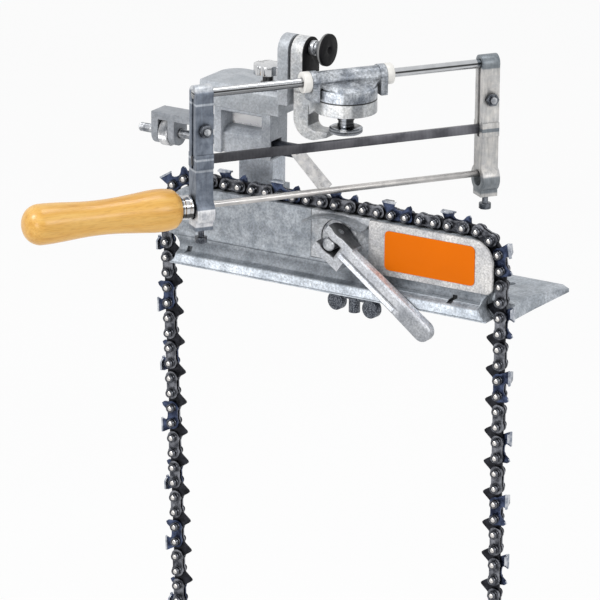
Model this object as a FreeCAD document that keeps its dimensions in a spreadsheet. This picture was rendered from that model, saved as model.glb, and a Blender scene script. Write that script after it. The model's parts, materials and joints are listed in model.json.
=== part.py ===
import FreeCAD, Part
import cmath
import math
import os
import Sketcher

# Bench-mounted filing guide for a saw chain.
# Guide frame: X runs along the rail, Y away from the user, Z up.
# Its zero lies on the rivet line of the chain, and the whole guide is then
# moved so that the part's own origin is the middle of the bench bolts.

SIZES = {
    # Place of the guide over its bench bolts
    "bolts_to_chain": 40.7,
    "bolts_to_middle": 6.3,
    "rivet_height": 53.0,
    # Saw chain
    "pitch": 9.525,
    "drive_link_count": 60,
    "drive_thickness": 1.5,
    "strap_thickness": 1.3,
    "strap_height": 7.9,
    "strap_waist": 6.6,
    "link_play": 0.05,
    "rivet_radius": 1.9,
    "rivet_play": 0.05,
    "rivet_head_radius": 2.7,
    "rivet_head_height": 0.7,
    "tang_depth": 9.3,
    "cutter_height": 7.8,
    "gauge_drop": 0.7,
    "top_plate_length": 9.0,
    "top_plate_reach": 4.2,
    "top_plate_thickness": 1.1,
    "top_plate_flare": 0.4,
    "cutting_edge": 2.3,
    "first_rivet": 1.1,
    "corner_radius": 20.0,
    "right_strand": 102.6,
    "left_strand": 127.1,
    "strand_lean": 2.3,
    "hang_radius": 160.0,
    "hang_turn": 55.0,
    # Base casting
    "rail_half": 6.0,
    "rail_play": 0.05,
    "rail_corner_ease": 3.0,
    "slot_play": 0.2,
    "slot_depth": 11.5,
    "end_play": 0.55,
    "rail_foot_drop": 37.0,
    "foot_top_drop": 44.5,
    "foot_bottom_drop": 52.0,
    "foot_reach": 12.3,
    "foot_left": 118.0,
    "foot_lip": 1.5,
    "end_recess_radius": 8.5,
    "end_recess_depth": 5.0,
    "end_recess_drop": 43.5,
    "groove_depth": 2.5,
    "groove_height": 6.0,
    "groove_gap": 0.9,
    "peep_hole_x": 73.7,
    "peep_hole_half": 1.4,
    "peep_hole_drop": 41.0,
    "lug_pocket_left": 107.6,
    "lug_pocket_width": 3.3,
    "lug_pocket_drop": 40.7,
    "lug_pocket_height": 3.4,
    # Bench flange
    "flange_drop": 43.5,
    "flange_thickness": 2.2,
    "flange_left": 114.0,
    "flange_right": 107.5,
    "flange_back": 56.0,
    "skirt_start": 27.1,
    "skirt_length": 26.6,
    "skirt_angle": 27.0,
    "rib_thickness": 4.0,
    "skirt_drop": 9.5,
    "bolt_spacing": 160.0,
    "bolt_hole_radius": 2.75,
    "bolt_boss_radius": 9.0,
    # Clamp jaw and its brow
    "jaw_left": 22.6,
    "jaw_right": 17.2,
    "jaw_height": 29.0,
    "jaw_play": 0.3,
    "jaw_gap": 0.1,
    "brow_reach": 6.0,
    "brow_thickness": 1.3,
    "cam_washer_radius": 12.2,
    "cam_washer_thickness": 1.0,
    # Clamp lever
    "bolt_x": 3.3,
    "bolt_drop": 19.4,
    "clamp_bolt_radius": 4.0,
    "clamp_bolt_end": 6.2,
    "clamp_bolt_tail": 8.5,
    "clamp_nut_flats": 13.0,
    "clamp_nut_height": 5.0,
    "clamp_washer_thickness": 1.6,
    "pin_stand_off": 13.4,
    "pin_radius": 2.0,
    "lever_angle": 36.5,
    "lever_length": 82.0,
    "lever_root_width": 9.3,
    "lever_tip_width": 12.3,
    "lever_thickness": 5.0,
    "lever_offset": 3.35,
    "head_width": 18.9,
    "head_back": 7.2,
    "head_length": 13.6,
    "head_depth": 5.0,
    "fork_gap": 8.6,
    "fork_depth": 7.0,
    "cam_radius": 7.0,
    "cam_throw": 0.7,
    "cam_play": 0.2,
    "lever_rib_width": 2.6,
    "lever_rib_drop": 1.1,
    "lever_rib_height": 1.0,
    "lever_rib_start": 9.0,
    "lever_rib_end": 55.0,
    # Guide plate with its label
    "guide_plate_left": 17.6,
    "guide_plate_thickness": 2.7,
    "guide_plate_height": 31.6,
    "guide_plate_seat": 5.5,
    "guide_plate_corner": 14.0,
    "guide_plate_overhang": 2.0,
    "label_left": 28.7,
    "label_width": 60.2,
    "label_height": 23.9,
    "label_drop": 7.9,
    "label_thickness": 0.4,
    "label_corner": 3.0,
    "plate_screw_radius": 2.0,
    "plate_screw_head": 3.5,
    "plate_screw_cap": 2.4,
    "plate_screw_grip": 1.9,
    "plate_screw_margin": 10.5,
    # Wing screw
    "wing_screw_x": 4.0,
    "wing_screw_drop": 59.8,
    "wing_angle": 7.5,
    "wing_span": 12.9,
    "wing_lobe_radius": 5.5,
    "wing_thickness": 4.6,
    "wing_web_low": 3.0,
    "wing_web_height": 2.4,
    "wing_hub_radius": 3.4,
    "wing_stem_radius": 3.0,
    "wing_stem_end": 36.0,
    # Rear column and box
    "column_left": 84.0,
    "column_width": 23.5,
    "column_front": 12.0,
    "column_depth": 14.4,
    "pedestal_margin": 2.0,
    "column_foot": 2.0,
    "box_left": 88.5,
    "box_width": 38.7,
    "box_front": 9.0,
    "box_back": 10.5,
    "box_bottom": 21.5,
    "post_left": 4.7,
    "post_right": 5.8,
    "box_roof": 4.5,
    "window_lip": 1.6,
    "window_lip_depth": 8.0,
    "key_width": 12.0,
    "key_front": 2.0,
    "key_height": 2.0,
    "panel_step": 2.5,
    "panel_top": 33.6,
    "ledge_rise": 3.3,
    "window_depth": 13.8,
    "column_bolt_radius": 2.5,
    "column_bolt_head": 4.25,
    "column_bolt_seat": 20.0,
    "column_bolt_grip": 11.0,
    # Chain stop
    "stop_height": 25.8,
    "stop_rod_radius": 2.7,
    "stop_rod_reach": 146.0,
    "wheel_radius": 8.4,
    "wheel_thickness": 6.4,
    "wheel_x": 125.8,
    "fork_leg": 4.6,
    "fork_half": 7.4,
    "fork_top": 39.0,
    "fork_bridge": 4.5,
    "wheel_play": 0.2,
    "stop_travel": 5.0,
    "stop_block_length": 24.4,
    "stop_block_half": 4.5,
    "stop_rod_grip": 12.0,
    "tongue_top": 31.0,
    "tongue_thickness": 3.0,
    "tongue_end": 36.3,
    "tongue_end_radius": 4.1,
    "tongue_slot_front": 7.5,
    "tongue_slot_rise": 2.2,
    "pawl_pin_radius": 1.2,
    "pawl_length": 28.0,
    "pawl_tip_half": 4.5,
    "pawl_tip_clip": 2.2,
    "pawl_angle": 43.0,
    "pawl_thickness": 1.5,
    "pawl_dimple_radius": 1.3,
    "pawl_dimple_inset": 3.6,
    # Top block with the fixed ear
    "block_left": 100.0,
    "block_thickness": 14.1,
    "block_front": 9.0,
    "block_back": 28.0,
    "block_corner": 12.0,
    "block_bevel": 2.5,
    "block_travel": 4.0,
    "slide_gap": 0.1,
    "ear_left": 45.2,
    "ear_thickness": 7.0,
    "ear_radius": 9.0,
    "ear_crown": 6.3,
    "ear_undercut": 7.5,
    "star_x": 57.0,
    "star_radius": 8.8,
    "star_height": 5.8,
    "star_boss_radius": 4.4,
    "star_neck_height": 2.2,
    "star_lobes_count": 6,
    "star_stem_radius": 3.2,
    "star_stand_off": 8.5,
    "star_washer_thickness": 1.5,
    "flute_radius": 2.6,
    "flute_out": 1.5,
    # Tilt joint
    "tilt_rise": 14.8,
    "block_drop": 28.5,
    "tilt_gap": 1.9,
    "tilt_bolt_radius": 3.0,
    "tilt_fit": 0.05,
    "tilt_bolt_grip": 7.6,
    "tilt_head_height": 3.6,
    "tilt_head_flats": 10.0,
    "friction_thickness": 1.0,
    "tilt_neck_radius": 4.5,
    "tilt_hub_length": 9.1,
    "tilt_knob_radius": 9.6,
    "tilt_disc_thickness": 2.9,
    # Swing arm
    "arm_ear_thickness": 8.0,
    "arm_half": 6.0,
    "arm_band": 10.3,
    "arm_foot_drop": 39.3,
    "arm_foot_height": 5.6,
    "arm_reach": 9.5,
    "arm_corner": 12.0,
    "arm_foot_lift": 2.8,
    "arm_band_drop": 16.6,
    "arm_hub_height": 3.1,
    # Swivel head
    "head_x": 3.5,
    "filing_angle": 35.0,
    "disc_radius": 18.2,
    "upper_disc": 6.7,
    "lower_disc": 8.1,
    "disc_gap": 0.1,
    "barrel_drop": 4.9,
    "barrel_radius": 5.65,
    "barrel_half": 19.5,
    "saddle_half": 16.0,
    "flange_plate": 4.3,
    "flange_half": 6.3,
    "flange_foot": 11.2,
    "spindle_radius": 4.0,
    "nut_radius": 9.85,
    "nut_height": 3.6,
    "nut_neck": 5.0,
    "nut_drop": 32.9,
    "bush_flange": 4.6,
    "bush_sleeve_radius": 4.2,
    "bush_sleeve_length": 16.0,
    "bush_fit": 0.05,
    # File frame
    "file_height": 10.0,
    "rod_rise": 67.3,
    "rod_radius": 2.75,
    "file_arm_middle": 91.4,
    "file_arm_length": 11.0,
    "file_arm_half": 5.15,
    "eye_radius": 5.3,
    "flat_file_drop": 39.7,
    "flat_file_height": 5.4,
    "flat_file_thickness": 2.6,
    "arm_slit": 2.8,
    "slit_end": 44.5,
    "arm_bolt_drop": 21.0,
    "arm_bolt_radius": 2.0,
    "arm_bolt_cap": 3.0,
    "arm_nut_flats": 7.0,
    "arm_nut_height": 3.2,
    "round_file_radius": 2.0,
    "boss_radius": 8.5,
    "boss_drop": 2.75,
    "boss_hole_radius": 4.85,
    "boss_bottom": 13.7,
    "file_screw_radius": 1.8,
    "file_screw_head": 3.65,
    "file_screw_cap": 3.4,
    "file_screw_stand_off": 5.0,
    "tang_length": 42.0,
    "ferrule_radius": 7.2,
    "ferrule_length": 8.8,
    "handle_length": 95.2,
    "handle_radius": 12.4,
    "handle_waist": 10.4,
    "handle_nose_radius": 6.0,
}

FULL_TURN = 360.0
FINE_GAP = 0.05
PARTS = []


class Size:
    """A number that carries the sheet formula it was worked out from."""

    def __init__(self, value, formula=None):
        self.value = float(value)
        self.formula = formula if formula else "%.9f" % self.value

    def __add__(self, other):
        other = as_size(other)
        return Size(self.value + other.value, "(%s + %s)" % (self.formula, other.formula))

    def __sub__(self, other):
        other = as_size(other)
        return Size(self.value - other.value, "(%s - %s)" % (self.formula, other.formula))

    def __mul__(self, other):
        other = as_size(other)
        return Size(self.value * other.value, "(%s * %s)" % (self.formula, other.formula))

    def __truediv__(self, other):
        other = as_size(other)
        return Size(self.value / other.value, "(%s / %s)" % (self.formula, other.formula))

    def __radd__(self, other):
        return as_size(other) + self

    def __rsub__(self, other):
        return as_size(other) - self

    def __rmul__(self, other):
        return as_size(other) * self

    def __neg__(self):
        return 0.0 - self


def as_size(number):
    return number if isinstance(number, Size) else Size(number)


def cosine(angle):
    return Size(math.cos(math.radians(angle.value)), "cos(%s)" % angle.formula)


def sine(angle):
    return Size(math.sin(math.radians(angle.value)), "sin(%s)" % angle.formula)


class Sheet:
    """The spreadsheet of driving sizes, read by name."""

    def __init__(self, document, sizes):
        self.table = document.addObject("Spreadsheet::Sheet", "Sizes")
        for row, (alias, number) in enumerate(sizes.items(), 1):
            self.table.set("A%d" % row, alias)
            self.table.set("B%d" % row, str(number))
            self.table.setAlias("B%d" % row, alias)
        document.recompute()

    def __getattr__(self, alias):
        return Size(self.table.get(alias), "Sizes." + alias)


doc = FreeCAD.newDocument("ChainFileGuide")
s = Sheet(doc, SIZES)


def bind(piece, **sizes):
    """Set properties and tie them to the sheet."""
    for name, size in sizes.items():
        size = as_size(size)
        setattr(piece, name, size.value)
        piece.setExpression(name, size.formula)
    return piece


def place(piece, at=(0, 0, 0), axis=(0, 0, 1), angle=0):
    """Put a piece at a point, turned about an axis, both tied to the sheet."""
    at = [as_size(number) for number in at]
    angle = as_size(angle)
    spot = FreeCAD.Vector(*[number.value for number in at])
    piece.Placement = FreeCAD.Placement(spot, FreeCAD.Rotation(FreeCAD.Vector(*axis), angle.value))
    for letter, number in zip("xyz", at):
        piece.setExpression("Placement.Base." + letter, number.formula)
    if angle.value:
        piece.setExpression("Placement.Rotation.Angle", angle.formula)
    return piece


def block(x, y, z):
    """A box between a low and a high size on each axis."""
    piece = doc.addObject("Part::Box", "Block")
    x, y, z = [[as_size(end) for end in pair] for pair in (x, y, z)]
    bind(piece, Length=x[1] - x[0], Width=y[1] - y[0], Height=z[1] - z[0])
    return place(piece, (x[0], y[0], z[0]))


def along(piece, axis, centre, start):
    """Lay a turned piece, drawn along Z, along an axis from a start."""
    if axis == "x":
        return place(piece, (start, centre[0], centre[1]), (0, 1, 0), 90)
    if axis == "y":
        return place(piece, (centre[0], start, centre[1]), (1, 0, 0), -90)
    return place(piece, (centre[0], centre[1], start))


def rod(axis, centre, span, radius):
    """A cylinder along an axis; centre gives the two other coordinates."""
    piece = doc.addObject("Part::Cylinder", "Rod")
    low, high = [as_size(end) for end in span]
    bind(piece, Radius=radius, Height=high - low)
    return along(piece, axis, centre, low)


def taper(axis, centre, span, low_radius, high_radius):
    """A cone frustum along an axis."""
    piece = doc.addObject("Part::Cone", "Taper")
    low, high = [as_size(end) for end in span]
    bind(piece, Radius1=low_radius, Radius2=high_radius, Height=high - low)
    return along(piece, axis, centre, low)


def hexagon(axis, centre, span, flats):
    """A hexagonal prism given by its width across flats."""
    piece = doc.addObject("Part::Prism", "Hexagon")
    low, high = [as_size(end) for end in span]
    piece.Polygon = 6
    bind(piece, Circumradius=as_size(flats) / math.sqrt(3.0), Height=high - low)
    return along(piece, axis, centre, low)


def fuse(*pieces):
    joined = doc.addObject("Part::MultiFuse", "Joined")
    joined.Shapes = list(pieces)
    joined.Refine = True
    return joined


def cut(base, *tools):
    """Take one or more tools out of a base."""
    for tool in tools:
        result = doc.addObject("Part::Cut", "Trimmed")
        result.Base = base
        result.Tool = tool
        base = result
    base.Refine = True
    return base


def origin_plane(body, role):
    return [item for item in body.Origin.OriginFeatures if item.Role == role][0]


def outline_sketch(body, plane, points):
    """A closed outline of straight lines, each corner tied to the sheet."""
    sketch = body.newObject("Sketcher::SketchObject", "Outline")
    sketch.AttachmentSupport = [(origin_plane(body, plane.upper() + "_Plane"), "")]
    sketch.MapMode = "FlatFace"
    points = [[as_size(number) for number in point] for point in points]
    corners = [FreeCAD.Vector(across.value, up.value, 0) for across, up in points]
    count = len(corners)
    for index in range(count):
        line = Part.LineSegment(corners[index], corners[(index + 1) % count])
        sketch.addGeometry(line, False)
    for index in range(count):
        sketch.addConstraint(Sketcher.Constraint("Coincident", index, 2, (index + 1) % count, 1))
    for index, (across, up) in enumerate(points):
        for kind, number in (("DistanceX", across), ("DistanceY", up)):
            tie = sketch.addConstraint(Sketcher.Constraint(kind, -1, 1, index, 1, number.value))
            sketch.setExpression("Constraints[%d]" % tie, number.formula)
    return sketch


def corner_edges(shape, sketch, corners):
    """Names of the edges that rise from some corners of a sketch."""
    names = []
    into_sketch = sketch.Placement.inverse()
    spots = [sketch.Geometry[corner].StartPoint for corner in corners]
    for number, edge in enumerate(shape.Edges, 1):
        ends = [into_sketch.multVec(vertex.Point) for vertex in edge.Vertexes]
        flat = [FreeCAD.Vector(end.x, end.y, 0) for end in ends]
        if len(ends) < 2 or abs(ends[0].z - ends[1].z) < 0.01:
            continue
        for spot in spots:
            if all(end.distanceToPoint(spot) < 0.001 for end in flat):
                names.append("Edge%d" % number)
    return names


def plate(plane, points, span, rounds=()):
    """A padded outline between two sizes across its plane.

    rounds holds pairs of a radius and the corners that get it.
    """
    body = doc.addObject("PartDesign::Body", "Plate")
    sketch = outline_sketch(body, plane, points)
    low, high = [as_size(end) for end in span]
    pad = body.newObject("PartDesign::Pad", "Pad")
    pad.Profile = sketch
    pad.Reversed = plane == "xz"
    bind(pad, Length=high - low)
    tip = pad
    for radius, corners in rounds:
        doc.recompute()
        edges = corner_edges(tip.Shape, sketch, corners)
        rounded = body.newObject("PartDesign::Fillet", "Rounded")
        rounded.Base = (tip, edges)
        bind(rounded, Radius=radius)
        tip = rounded
    body.Tip = tip
    offset = {"xy": (0, 0, low), "xz": (0, low, 0), "yz": (low, 0, 0)}[plane]
    return place(body, offset)


def guide_spot():
    return (-s.bolts_to_middle, -s.bolts_to_chain, s.rivet_height)


def finish(name, pieces, at=(0, 0, 0), axis=(0, 0, 1), angle=0):
    """Collect the solids of one sub-part under its name and place them."""
    part = doc.addObject("Part::Compound", name)
    part.Label = name
    part.Links = list(pieces)
    spot = [own + as_size(extra) for own, extra in zip(guide_spot(), at)]
    place(part, spot, axis, angle)
    PARTS.append(part)
    return part


# Heights and places that several pieces share

def rod_height():
    return s.file_height + s.rod_rise


def tilt_height():
    return rod_height() + s.tilt_rise


def block_top():
    return tilt_height() - s.block_drop


def block_bottom():
    return block_top() - s.block_thickness


def column_top():
    return block_bottom() - s.slide_gap


def rail_top():
    return -(s.strap_height / 2 + s.rail_play)


def rail_corner():
    return s.corner_radius - s.rail_corner_ease


def rail_right():
    return s.right_strand - s.strap_height / 2 - s.end_play


def rail_left():
    leaning = (s.rail_foot_drop - s.corner_radius) * sine(s.strand_lean)
    return -(s.left_strand - s.strap_height / 2 - s.end_play - leaning)


def side_face():
    """Outer face of the side links, from the chain's middle."""
    return s.drive_thickness / 2 + s.link_play + s.strap_thickness


def slot_half():
    return s.drive_thickness / 2 + s.slot_play


def disc_top():
    return rod_height() - s.barrel_drop


def lower_disc_top():
    return disc_top() - s.upper_disc - s.disc_gap


def lower_disc_bottom():
    return lower_disc_top() - s.lower_disc


def nut_bottom():
    return rod_height() - s.nut_drop


def arm_ear_left():
    return -s.ear_left + s.ear_thickness + s.tilt_gap


def arm_ear_right():
    return arm_ear_left() + s.arm_ear_thickness


# Base casting and what is fixed to it

def foot_profile():
    """Cross-section of the foot: a cove that swells out under the rail."""
    swell = s.foot_reach - s.rail_half
    fall = s.foot_top_drop - s.rail_foot_drop
    lip = s.foot_lip
    points = [(s.rail_half, -s.rail_foot_drop), (-s.rail_half, -s.rail_foot_drop)]
    for out, down in ((0.12, 0.4), (0.42, 0.78), (1.0, 1.0)):
        points.append((-(s.rail_half + swell * out), -(s.rail_foot_drop + fall * down)))
    points.append((-s.foot_reach, -(s.foot_bottom_drop - lip)))
    points.append((-(s.foot_reach - lip), -s.foot_bottom_drop))
    points.append((s.rail_half, -s.foot_bottom_drop))
    return points


def chain_slot():
    """The slot that the tangs of the chain run in, over the top and down both ends."""
    low = -(s.foot_bottom_drop + 2)
    whole = block((rail_left() - 9, rail_right() + 9), (-slot_half(), slot_half()), (low - 1, 2))
    left = -(s.left_strand - s.slot_depth)
    right = s.right_strand - s.slot_depth
    top = -s.slot_depth
    core_points = [(left, low - 2), (right, low - 2), (right, top), (left, top)]
    core = plate("xz", core_points, (-s.rail_half, s.rail_half),
                 [(s.corner_radius - s.slot_depth, [2, 3])])
    return cut(whole, core)


def flange_corner():
    """Far right corner of the bench flange."""
    return (s.flange_right + s.skirt_length * sine(s.skirt_angle),
            s.skirt_start + s.skirt_length * cosine(s.skirt_angle))


def bench_flange():
    """The plate behind the rail that is bolted down, with its ribs and bosses."""
    left, right, back = -s.flange_left, s.flange_right, s.flange_back
    top = -s.flange_drop
    under = top - s.flange_thickness
    bench = -s.rivet_height
    corner_x, corner_y = flange_corner()
    points = [(left, s.rail_half - 2), (right, s.rail_half - 2), (right, s.skirt_start),
              (corner_x, corner_y), (corner_x - 7, back), (left + 8, back), (left, back - 8)]
    sheet_metal = plate("xy", points, (under, top))
    rib = s.rib_thickness
    ribs = [
        block((left + rib, right - rib), (s.rail_half - 1, s.rail_half + rib), (bench, under + 1)),
        block((left + 3 * rib, right - 3 * rib), (back - 2 * rib, back - rib), (bench, under + 1)),
        block((right - rib, right), (s.rail_half - 1, s.skirt_start), (bench, under + 1)),
        block((left, left + rib), (s.rail_half - 1, back - 2 * rib), (bench, under + 1)),
    ]
    skirt = plate("yz", [(0, 0), (s.skirt_length, 0), (0, -(s.skirt_drop - s.flange_thickness))],
                  (0, rib))
    place(skirt, (right - rib * cosine(s.skirt_angle), s.skirt_start + rib * sine(s.skirt_angle),
                  under + FINE_GAP), (0, 0, 1), -s.skirt_angle)
    skirt_base = block((right - rib, right), (s.skirt_start - rib, s.skirt_start + 1),
                       (under - s.skirt_drop + s.flange_thickness, under + 1))
    bosses = [rod("z", (x, s.bolts_to_chain), (bench, top - 1), s.bolt_boss_radius)
              for x in bolt_places()]
    return fuse(sheet_metal, skirt, skirt_base, *ribs, *bosses)


def bolt_places():
    return [s.bolts_to_middle - s.bolt_spacing / 2, s.bolts_to_middle + s.bolt_spacing / 2]


def plate_screw_places():
    """Three screws that hold the guide plate from behind."""
    low = rail_top() - s.guide_plate_height * 0.75
    return [(s.guide_plate_left + s.plate_screw_margin, low),
            ((s.guide_plate_left + rail_right()) / 2, low),
            (rail_right() - s.plate_screw_margin, low)]


def column_bolt_places():
    """Two bolts that come up through the pedestal."""
    y = s.column_front + s.column_depth / 2
    inset = s.column_width / 4
    return [(-s.column_left + inset, y), (-s.column_left + s.column_width - inset, y)]


def base_casting():
    half = s.rail_half
    wall_low = -(s.rail_foot_drop + 1)
    wall_points = [(rail_left(), wall_low), (rail_right(), wall_low),
                   (rail_right(), rail_top()), (rail_left(), rail_top())]
    wall = plate("xz", wall_points, (-half, half), [(rail_corner(), [2, 3])])
    foot_left = -s.foot_left
    foot_right = rail_right()
    foot = plate("yz", foot_profile(), (foot_left, foot_right))
    margin = s.pedestal_margin
    pedestal = block((-(s.column_left + margin), -s.column_left + s.column_width + margin),
                     (s.column_front - margin, s.column_front + s.column_depth + margin),
                     (-(s.flange_drop + 1), -s.column_foot))
    casting = fuse(wall, foot, bench_flange(), pedestal)

    seat = block((s.guide_plate_left, rail_right() + 9), (-half - 1, -s.guide_plate_seat),
                 (rail_top() - s.guide_plate_height, 2))
    pocket = block((-(s.jaw_left + s.jaw_play), s.jaw_right + s.jaw_play),
                   (-half - 1, -s.drive_thickness / 2),
                   (rail_top() - s.jaw_height - s.jaw_play, 2))
    groove_top = rail_top() - s.guide_plate_height - s.groove_gap
    groove = block((s.guide_plate_left + 5, rail_right() - 5.5),
                   (-s.foot_reach, -half + s.groove_depth),
                   (groove_top - s.groove_height, groove_top))
    recesses = []
    recess_shift = s.end_recess_radius - s.end_recess_depth
    for x in (foot_left - recess_shift, foot_right + recess_shift):
        recesses.append(rod("y", (x, -s.end_recess_drop), (-s.foot_reach - 1, half + 1),
                            s.end_recess_radius))
    clamp_hole = rod("y", (-s.bolt_x, -s.bolt_drop), (-half - 1, half + 1),
                     s.clamp_bolt_radius + FINE_GAP)
    peep_hole = block((s.peep_hole_x - s.peep_hole_half, s.peep_hole_x + s.peep_hole_half),
                      (-s.foot_reach - 1, -half + 3),
                      (-s.peep_hole_drop - s.peep_hole_half * 2, -s.peep_hole_drop))
    lug_pocket = block((-s.lug_pocket_left, -s.lug_pocket_left + s.lug_pocket_width),
                       (-s.foot_reach - 1, -half),
                       (-s.lug_pocket_drop - s.lug_pocket_height, -s.lug_pocket_drop))
    wing_hole = rod("z", (s.wing_screw_x, 0), (-(s.foot_bottom_drop + 1), -s.wing_stem_end + 1),
                    s.wing_stem_radius + FINE_GAP)
    tools = [seat, pocket, groove, chain_slot(), clamp_hole, peep_hole, lug_pocket, wing_hole]
    tools += recesses
    for x in bolt_places():
        tools.append(rod("z", (x, s.bolts_to_chain), (-(s.rivet_height + 1), -s.flange_drop + 1),
                         s.bolt_hole_radius))
    for x, z in plate_screw_places():
        tools.append(rod("y", (x, z), (-half - 1, half + 1), s.plate_screw_radius + FINE_GAP))
    for place_xy in column_bolt_places():
        tools.append(rod("z", place_xy, (-(s.rivet_height + 1), -s.column_bolt_seat),
                         s.column_bolt_head + 0.5))
        tools.append(rod("z", place_xy, (-(s.column_bolt_seat + 1), 0),
                         s.column_bolt_radius + FINE_GAP))
    finish("base_casting", [cut(casting, *tools)])


def guide_plate():
    top = rail_top()
    low = top - s.guide_plate_height
    right = rail_right() + s.guide_plate_overhang
    front = -(s.guide_plate_seat + s.guide_plate_thickness)
    points = [(s.guide_plate_left, low), (right, low), (right, top), (s.guide_plate_left, top)]
    face = plate("xz", points, (front, -s.guide_plate_seat),
                 [(s.guide_plate_corner, [2]), (4.0, [1]), (1.2, [0, 3])])
    holes = [rod("y", spot, (-s.guide_plate_seat - s.plate_screw_grip, -s.guide_plate_seat + 1),
                 s.plate_screw_radius + FINE_GAP) for spot in plate_screw_places()]
    finish("guide_plate", [cut(face, *holes)])


def label_plate():
    front = -(s.guide_plate_seat + s.guide_plate_thickness)
    left = s.label_left
    right = left + s.label_width
    top = -s.label_drop
    low = top - s.label_height
    points = [(left, low), (right, low), (right, top), (left, top)]
    face = plate("xz", points, (front - s.label_thickness, front),
                 [(s.label_corner, [0, 1, 2, 3])])
    finish("label_plate", [face])


def socket_screw(axis, centre, head_from, head_to, tip, head_radius, shank_radius, key):
    """A cap screw along an axis, its hexagon socket sunk in the far side of its head."""
    low, high = (head_from, head_to) if head_from.value < head_to.value else (head_to, head_from)
    head = rod(axis, centre, (low, high), head_radius)
    away = head_to.value > head_from.value
    shank_span = (tip, head_from) if away else (head_from, tip)
    shank = rod(axis, centre, shank_span, shank_radius)
    depth = (high - low) * 0.55
    socket_span = (high - depth, high + 1) if away else (low - 1, low + depth)
    return cut(fuse(head, shank), hexagon(axis, centre, socket_span, key))


def guide_plate_screws():
    tip = -(s.guide_plate_seat + s.plate_screw_grip - 0.3)
    screws = [socket_screw("y", spot, s.rail_half, s.rail_half + s.plate_screw_cap, tip,
                           s.plate_screw_head, s.plate_screw_radius, s.plate_screw_radius * 1.4)
              for spot in plate_screw_places()]
    finish("guide_plate_screws", screws)


# Clamp jaw, its brow, bolt, washers and lever

def jaw_back():
    return -(s.drive_thickness / 2 + s.jaw_gap)


def washer_face():
    """Front face of the cam washer, which the closed lever presses on."""
    return -(s.pin_stand_off - s.cam_radius - s.cam_throw - s.cam_play)


def brow():
    """A curved lip over the lever's head, swept from the jaw's face to a lower outer edge."""
    wires = []
    thick = s.brow_thickness.value
    inner = (-s.rail_half.value + 0.6, (-20.5, -6.8), (-5.0, -4.1), (16.8, -7.9))
    outer = (-(s.rail_half + s.brow_reach).value, (-25.7, -10.0), (-7.0, -4.7), (14.7, -10.2))
    for y, left, crown, right in (inner, outer):
        upper = [FreeCAD.Vector(x, y, z) for x, z in (left, crown, right)]
        lower = [FreeCAD.Vector(x, y, z - thick) for x, z in (right, crown, left)]
        wires.append(Part.Wire([
            Part.Arc(*upper).toShape(),
            Part.LineSegment(upper[2], lower[0]).toShape(),
            Part.Arc(*lower).toShape(),
            Part.LineSegment(lower[2], upper[0]).toShape(),
        ]))
    piece = doc.addObject("Part::Feature", "Brow")
    piece.Shape = Part.makeLoft(wires, True, True)
    return piece


def clamp_jaw():
    top = rail_top()
    face = block((-s.jaw_left, s.jaw_right), (-s.rail_half, jaw_back()), (top - s.jaw_height, top))
    bolt_hole = rod("y", (-s.bolt_x, -s.bolt_drop), (-s.rail_half - 1, 1),
                    s.clamp_bolt_radius + s.jaw_play)
    seat = rod("y", (-s.bolt_x, -s.bolt_drop),
               (-s.rail_half - 1, washer_face() + s.cam_washer_thickness),
               s.cam_washer_radius + s.jaw_play)
    finish("clamp_jaw", [cut(fuse(face, brow()), bolt_hole, seat)])


def washer(axis, centre, span, radius, bore):
    low, high = span
    return cut(rod(axis, centre, span, radius), rod(axis, centre, (low - 1, high + 1), bore))


def cam_washer():
    ring = washer("y", (-s.bolt_x, -s.bolt_drop),
                  (washer_face(), washer_face() + s.cam_washer_thickness),
                  s.cam_washer_radius, s.clamp_bolt_radius + s.jaw_play)
    finish("cam_washer", [ring])


def clamp_bolt():
    front = -(s.pin_stand_off + s.clamp_bolt_end)
    back = s.rail_half + s.clamp_bolt_tail
    centre = (-s.bolt_x, -s.bolt_drop)
    shank = rod("y", centre, (front + 1, back), s.clamp_bolt_radius)
    nose = taper("y", centre, (front, front + 1), s.clamp_bolt_radius - 0.8, s.clamp_bolt_radius)
    pin_hole = rod("z", (0, 0), (-s.head_width, s.head_width), s.pin_radius + FINE_GAP)
    place(pin_hole, (-s.bolt_x - s.head_width * sine(s.lever_angle), -s.pin_stand_off,
                     -s.bolt_drop - s.head_width * cosine(s.lever_angle)),
          (0, 1, 0), s.lever_angle)
    finish("clamp_bolt", [cut(fuse(shank, nose), pin_hole)])


def clamp_bolt_nut():
    centre = (-s.bolt_x, -s.bolt_drop)
    low = s.rail_half + s.clamp_washer_thickness
    high = low + s.clamp_nut_height
    nut = cut(hexagon("y", centre, (low, high), s.clamp_nut_flats),
              rod("y", centre, (low - 1, high + 1), s.clamp_bolt_radius + FINE_GAP))
    finish("clamp_nut", [nut])
    ring = washer("y", centre, (s.rail_half, low), s.clamp_nut_flats * 0.65,
                  s.clamp_bolt_radius + FINE_GAP)
    finish("clamp_nut_washer", [ring])


def lever_spot():
    return {"at": (-s.bolt_x, -s.pin_stand_off, -s.bolt_drop), "axis": (0, 1, 0),
            "angle": s.lever_angle}


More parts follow.
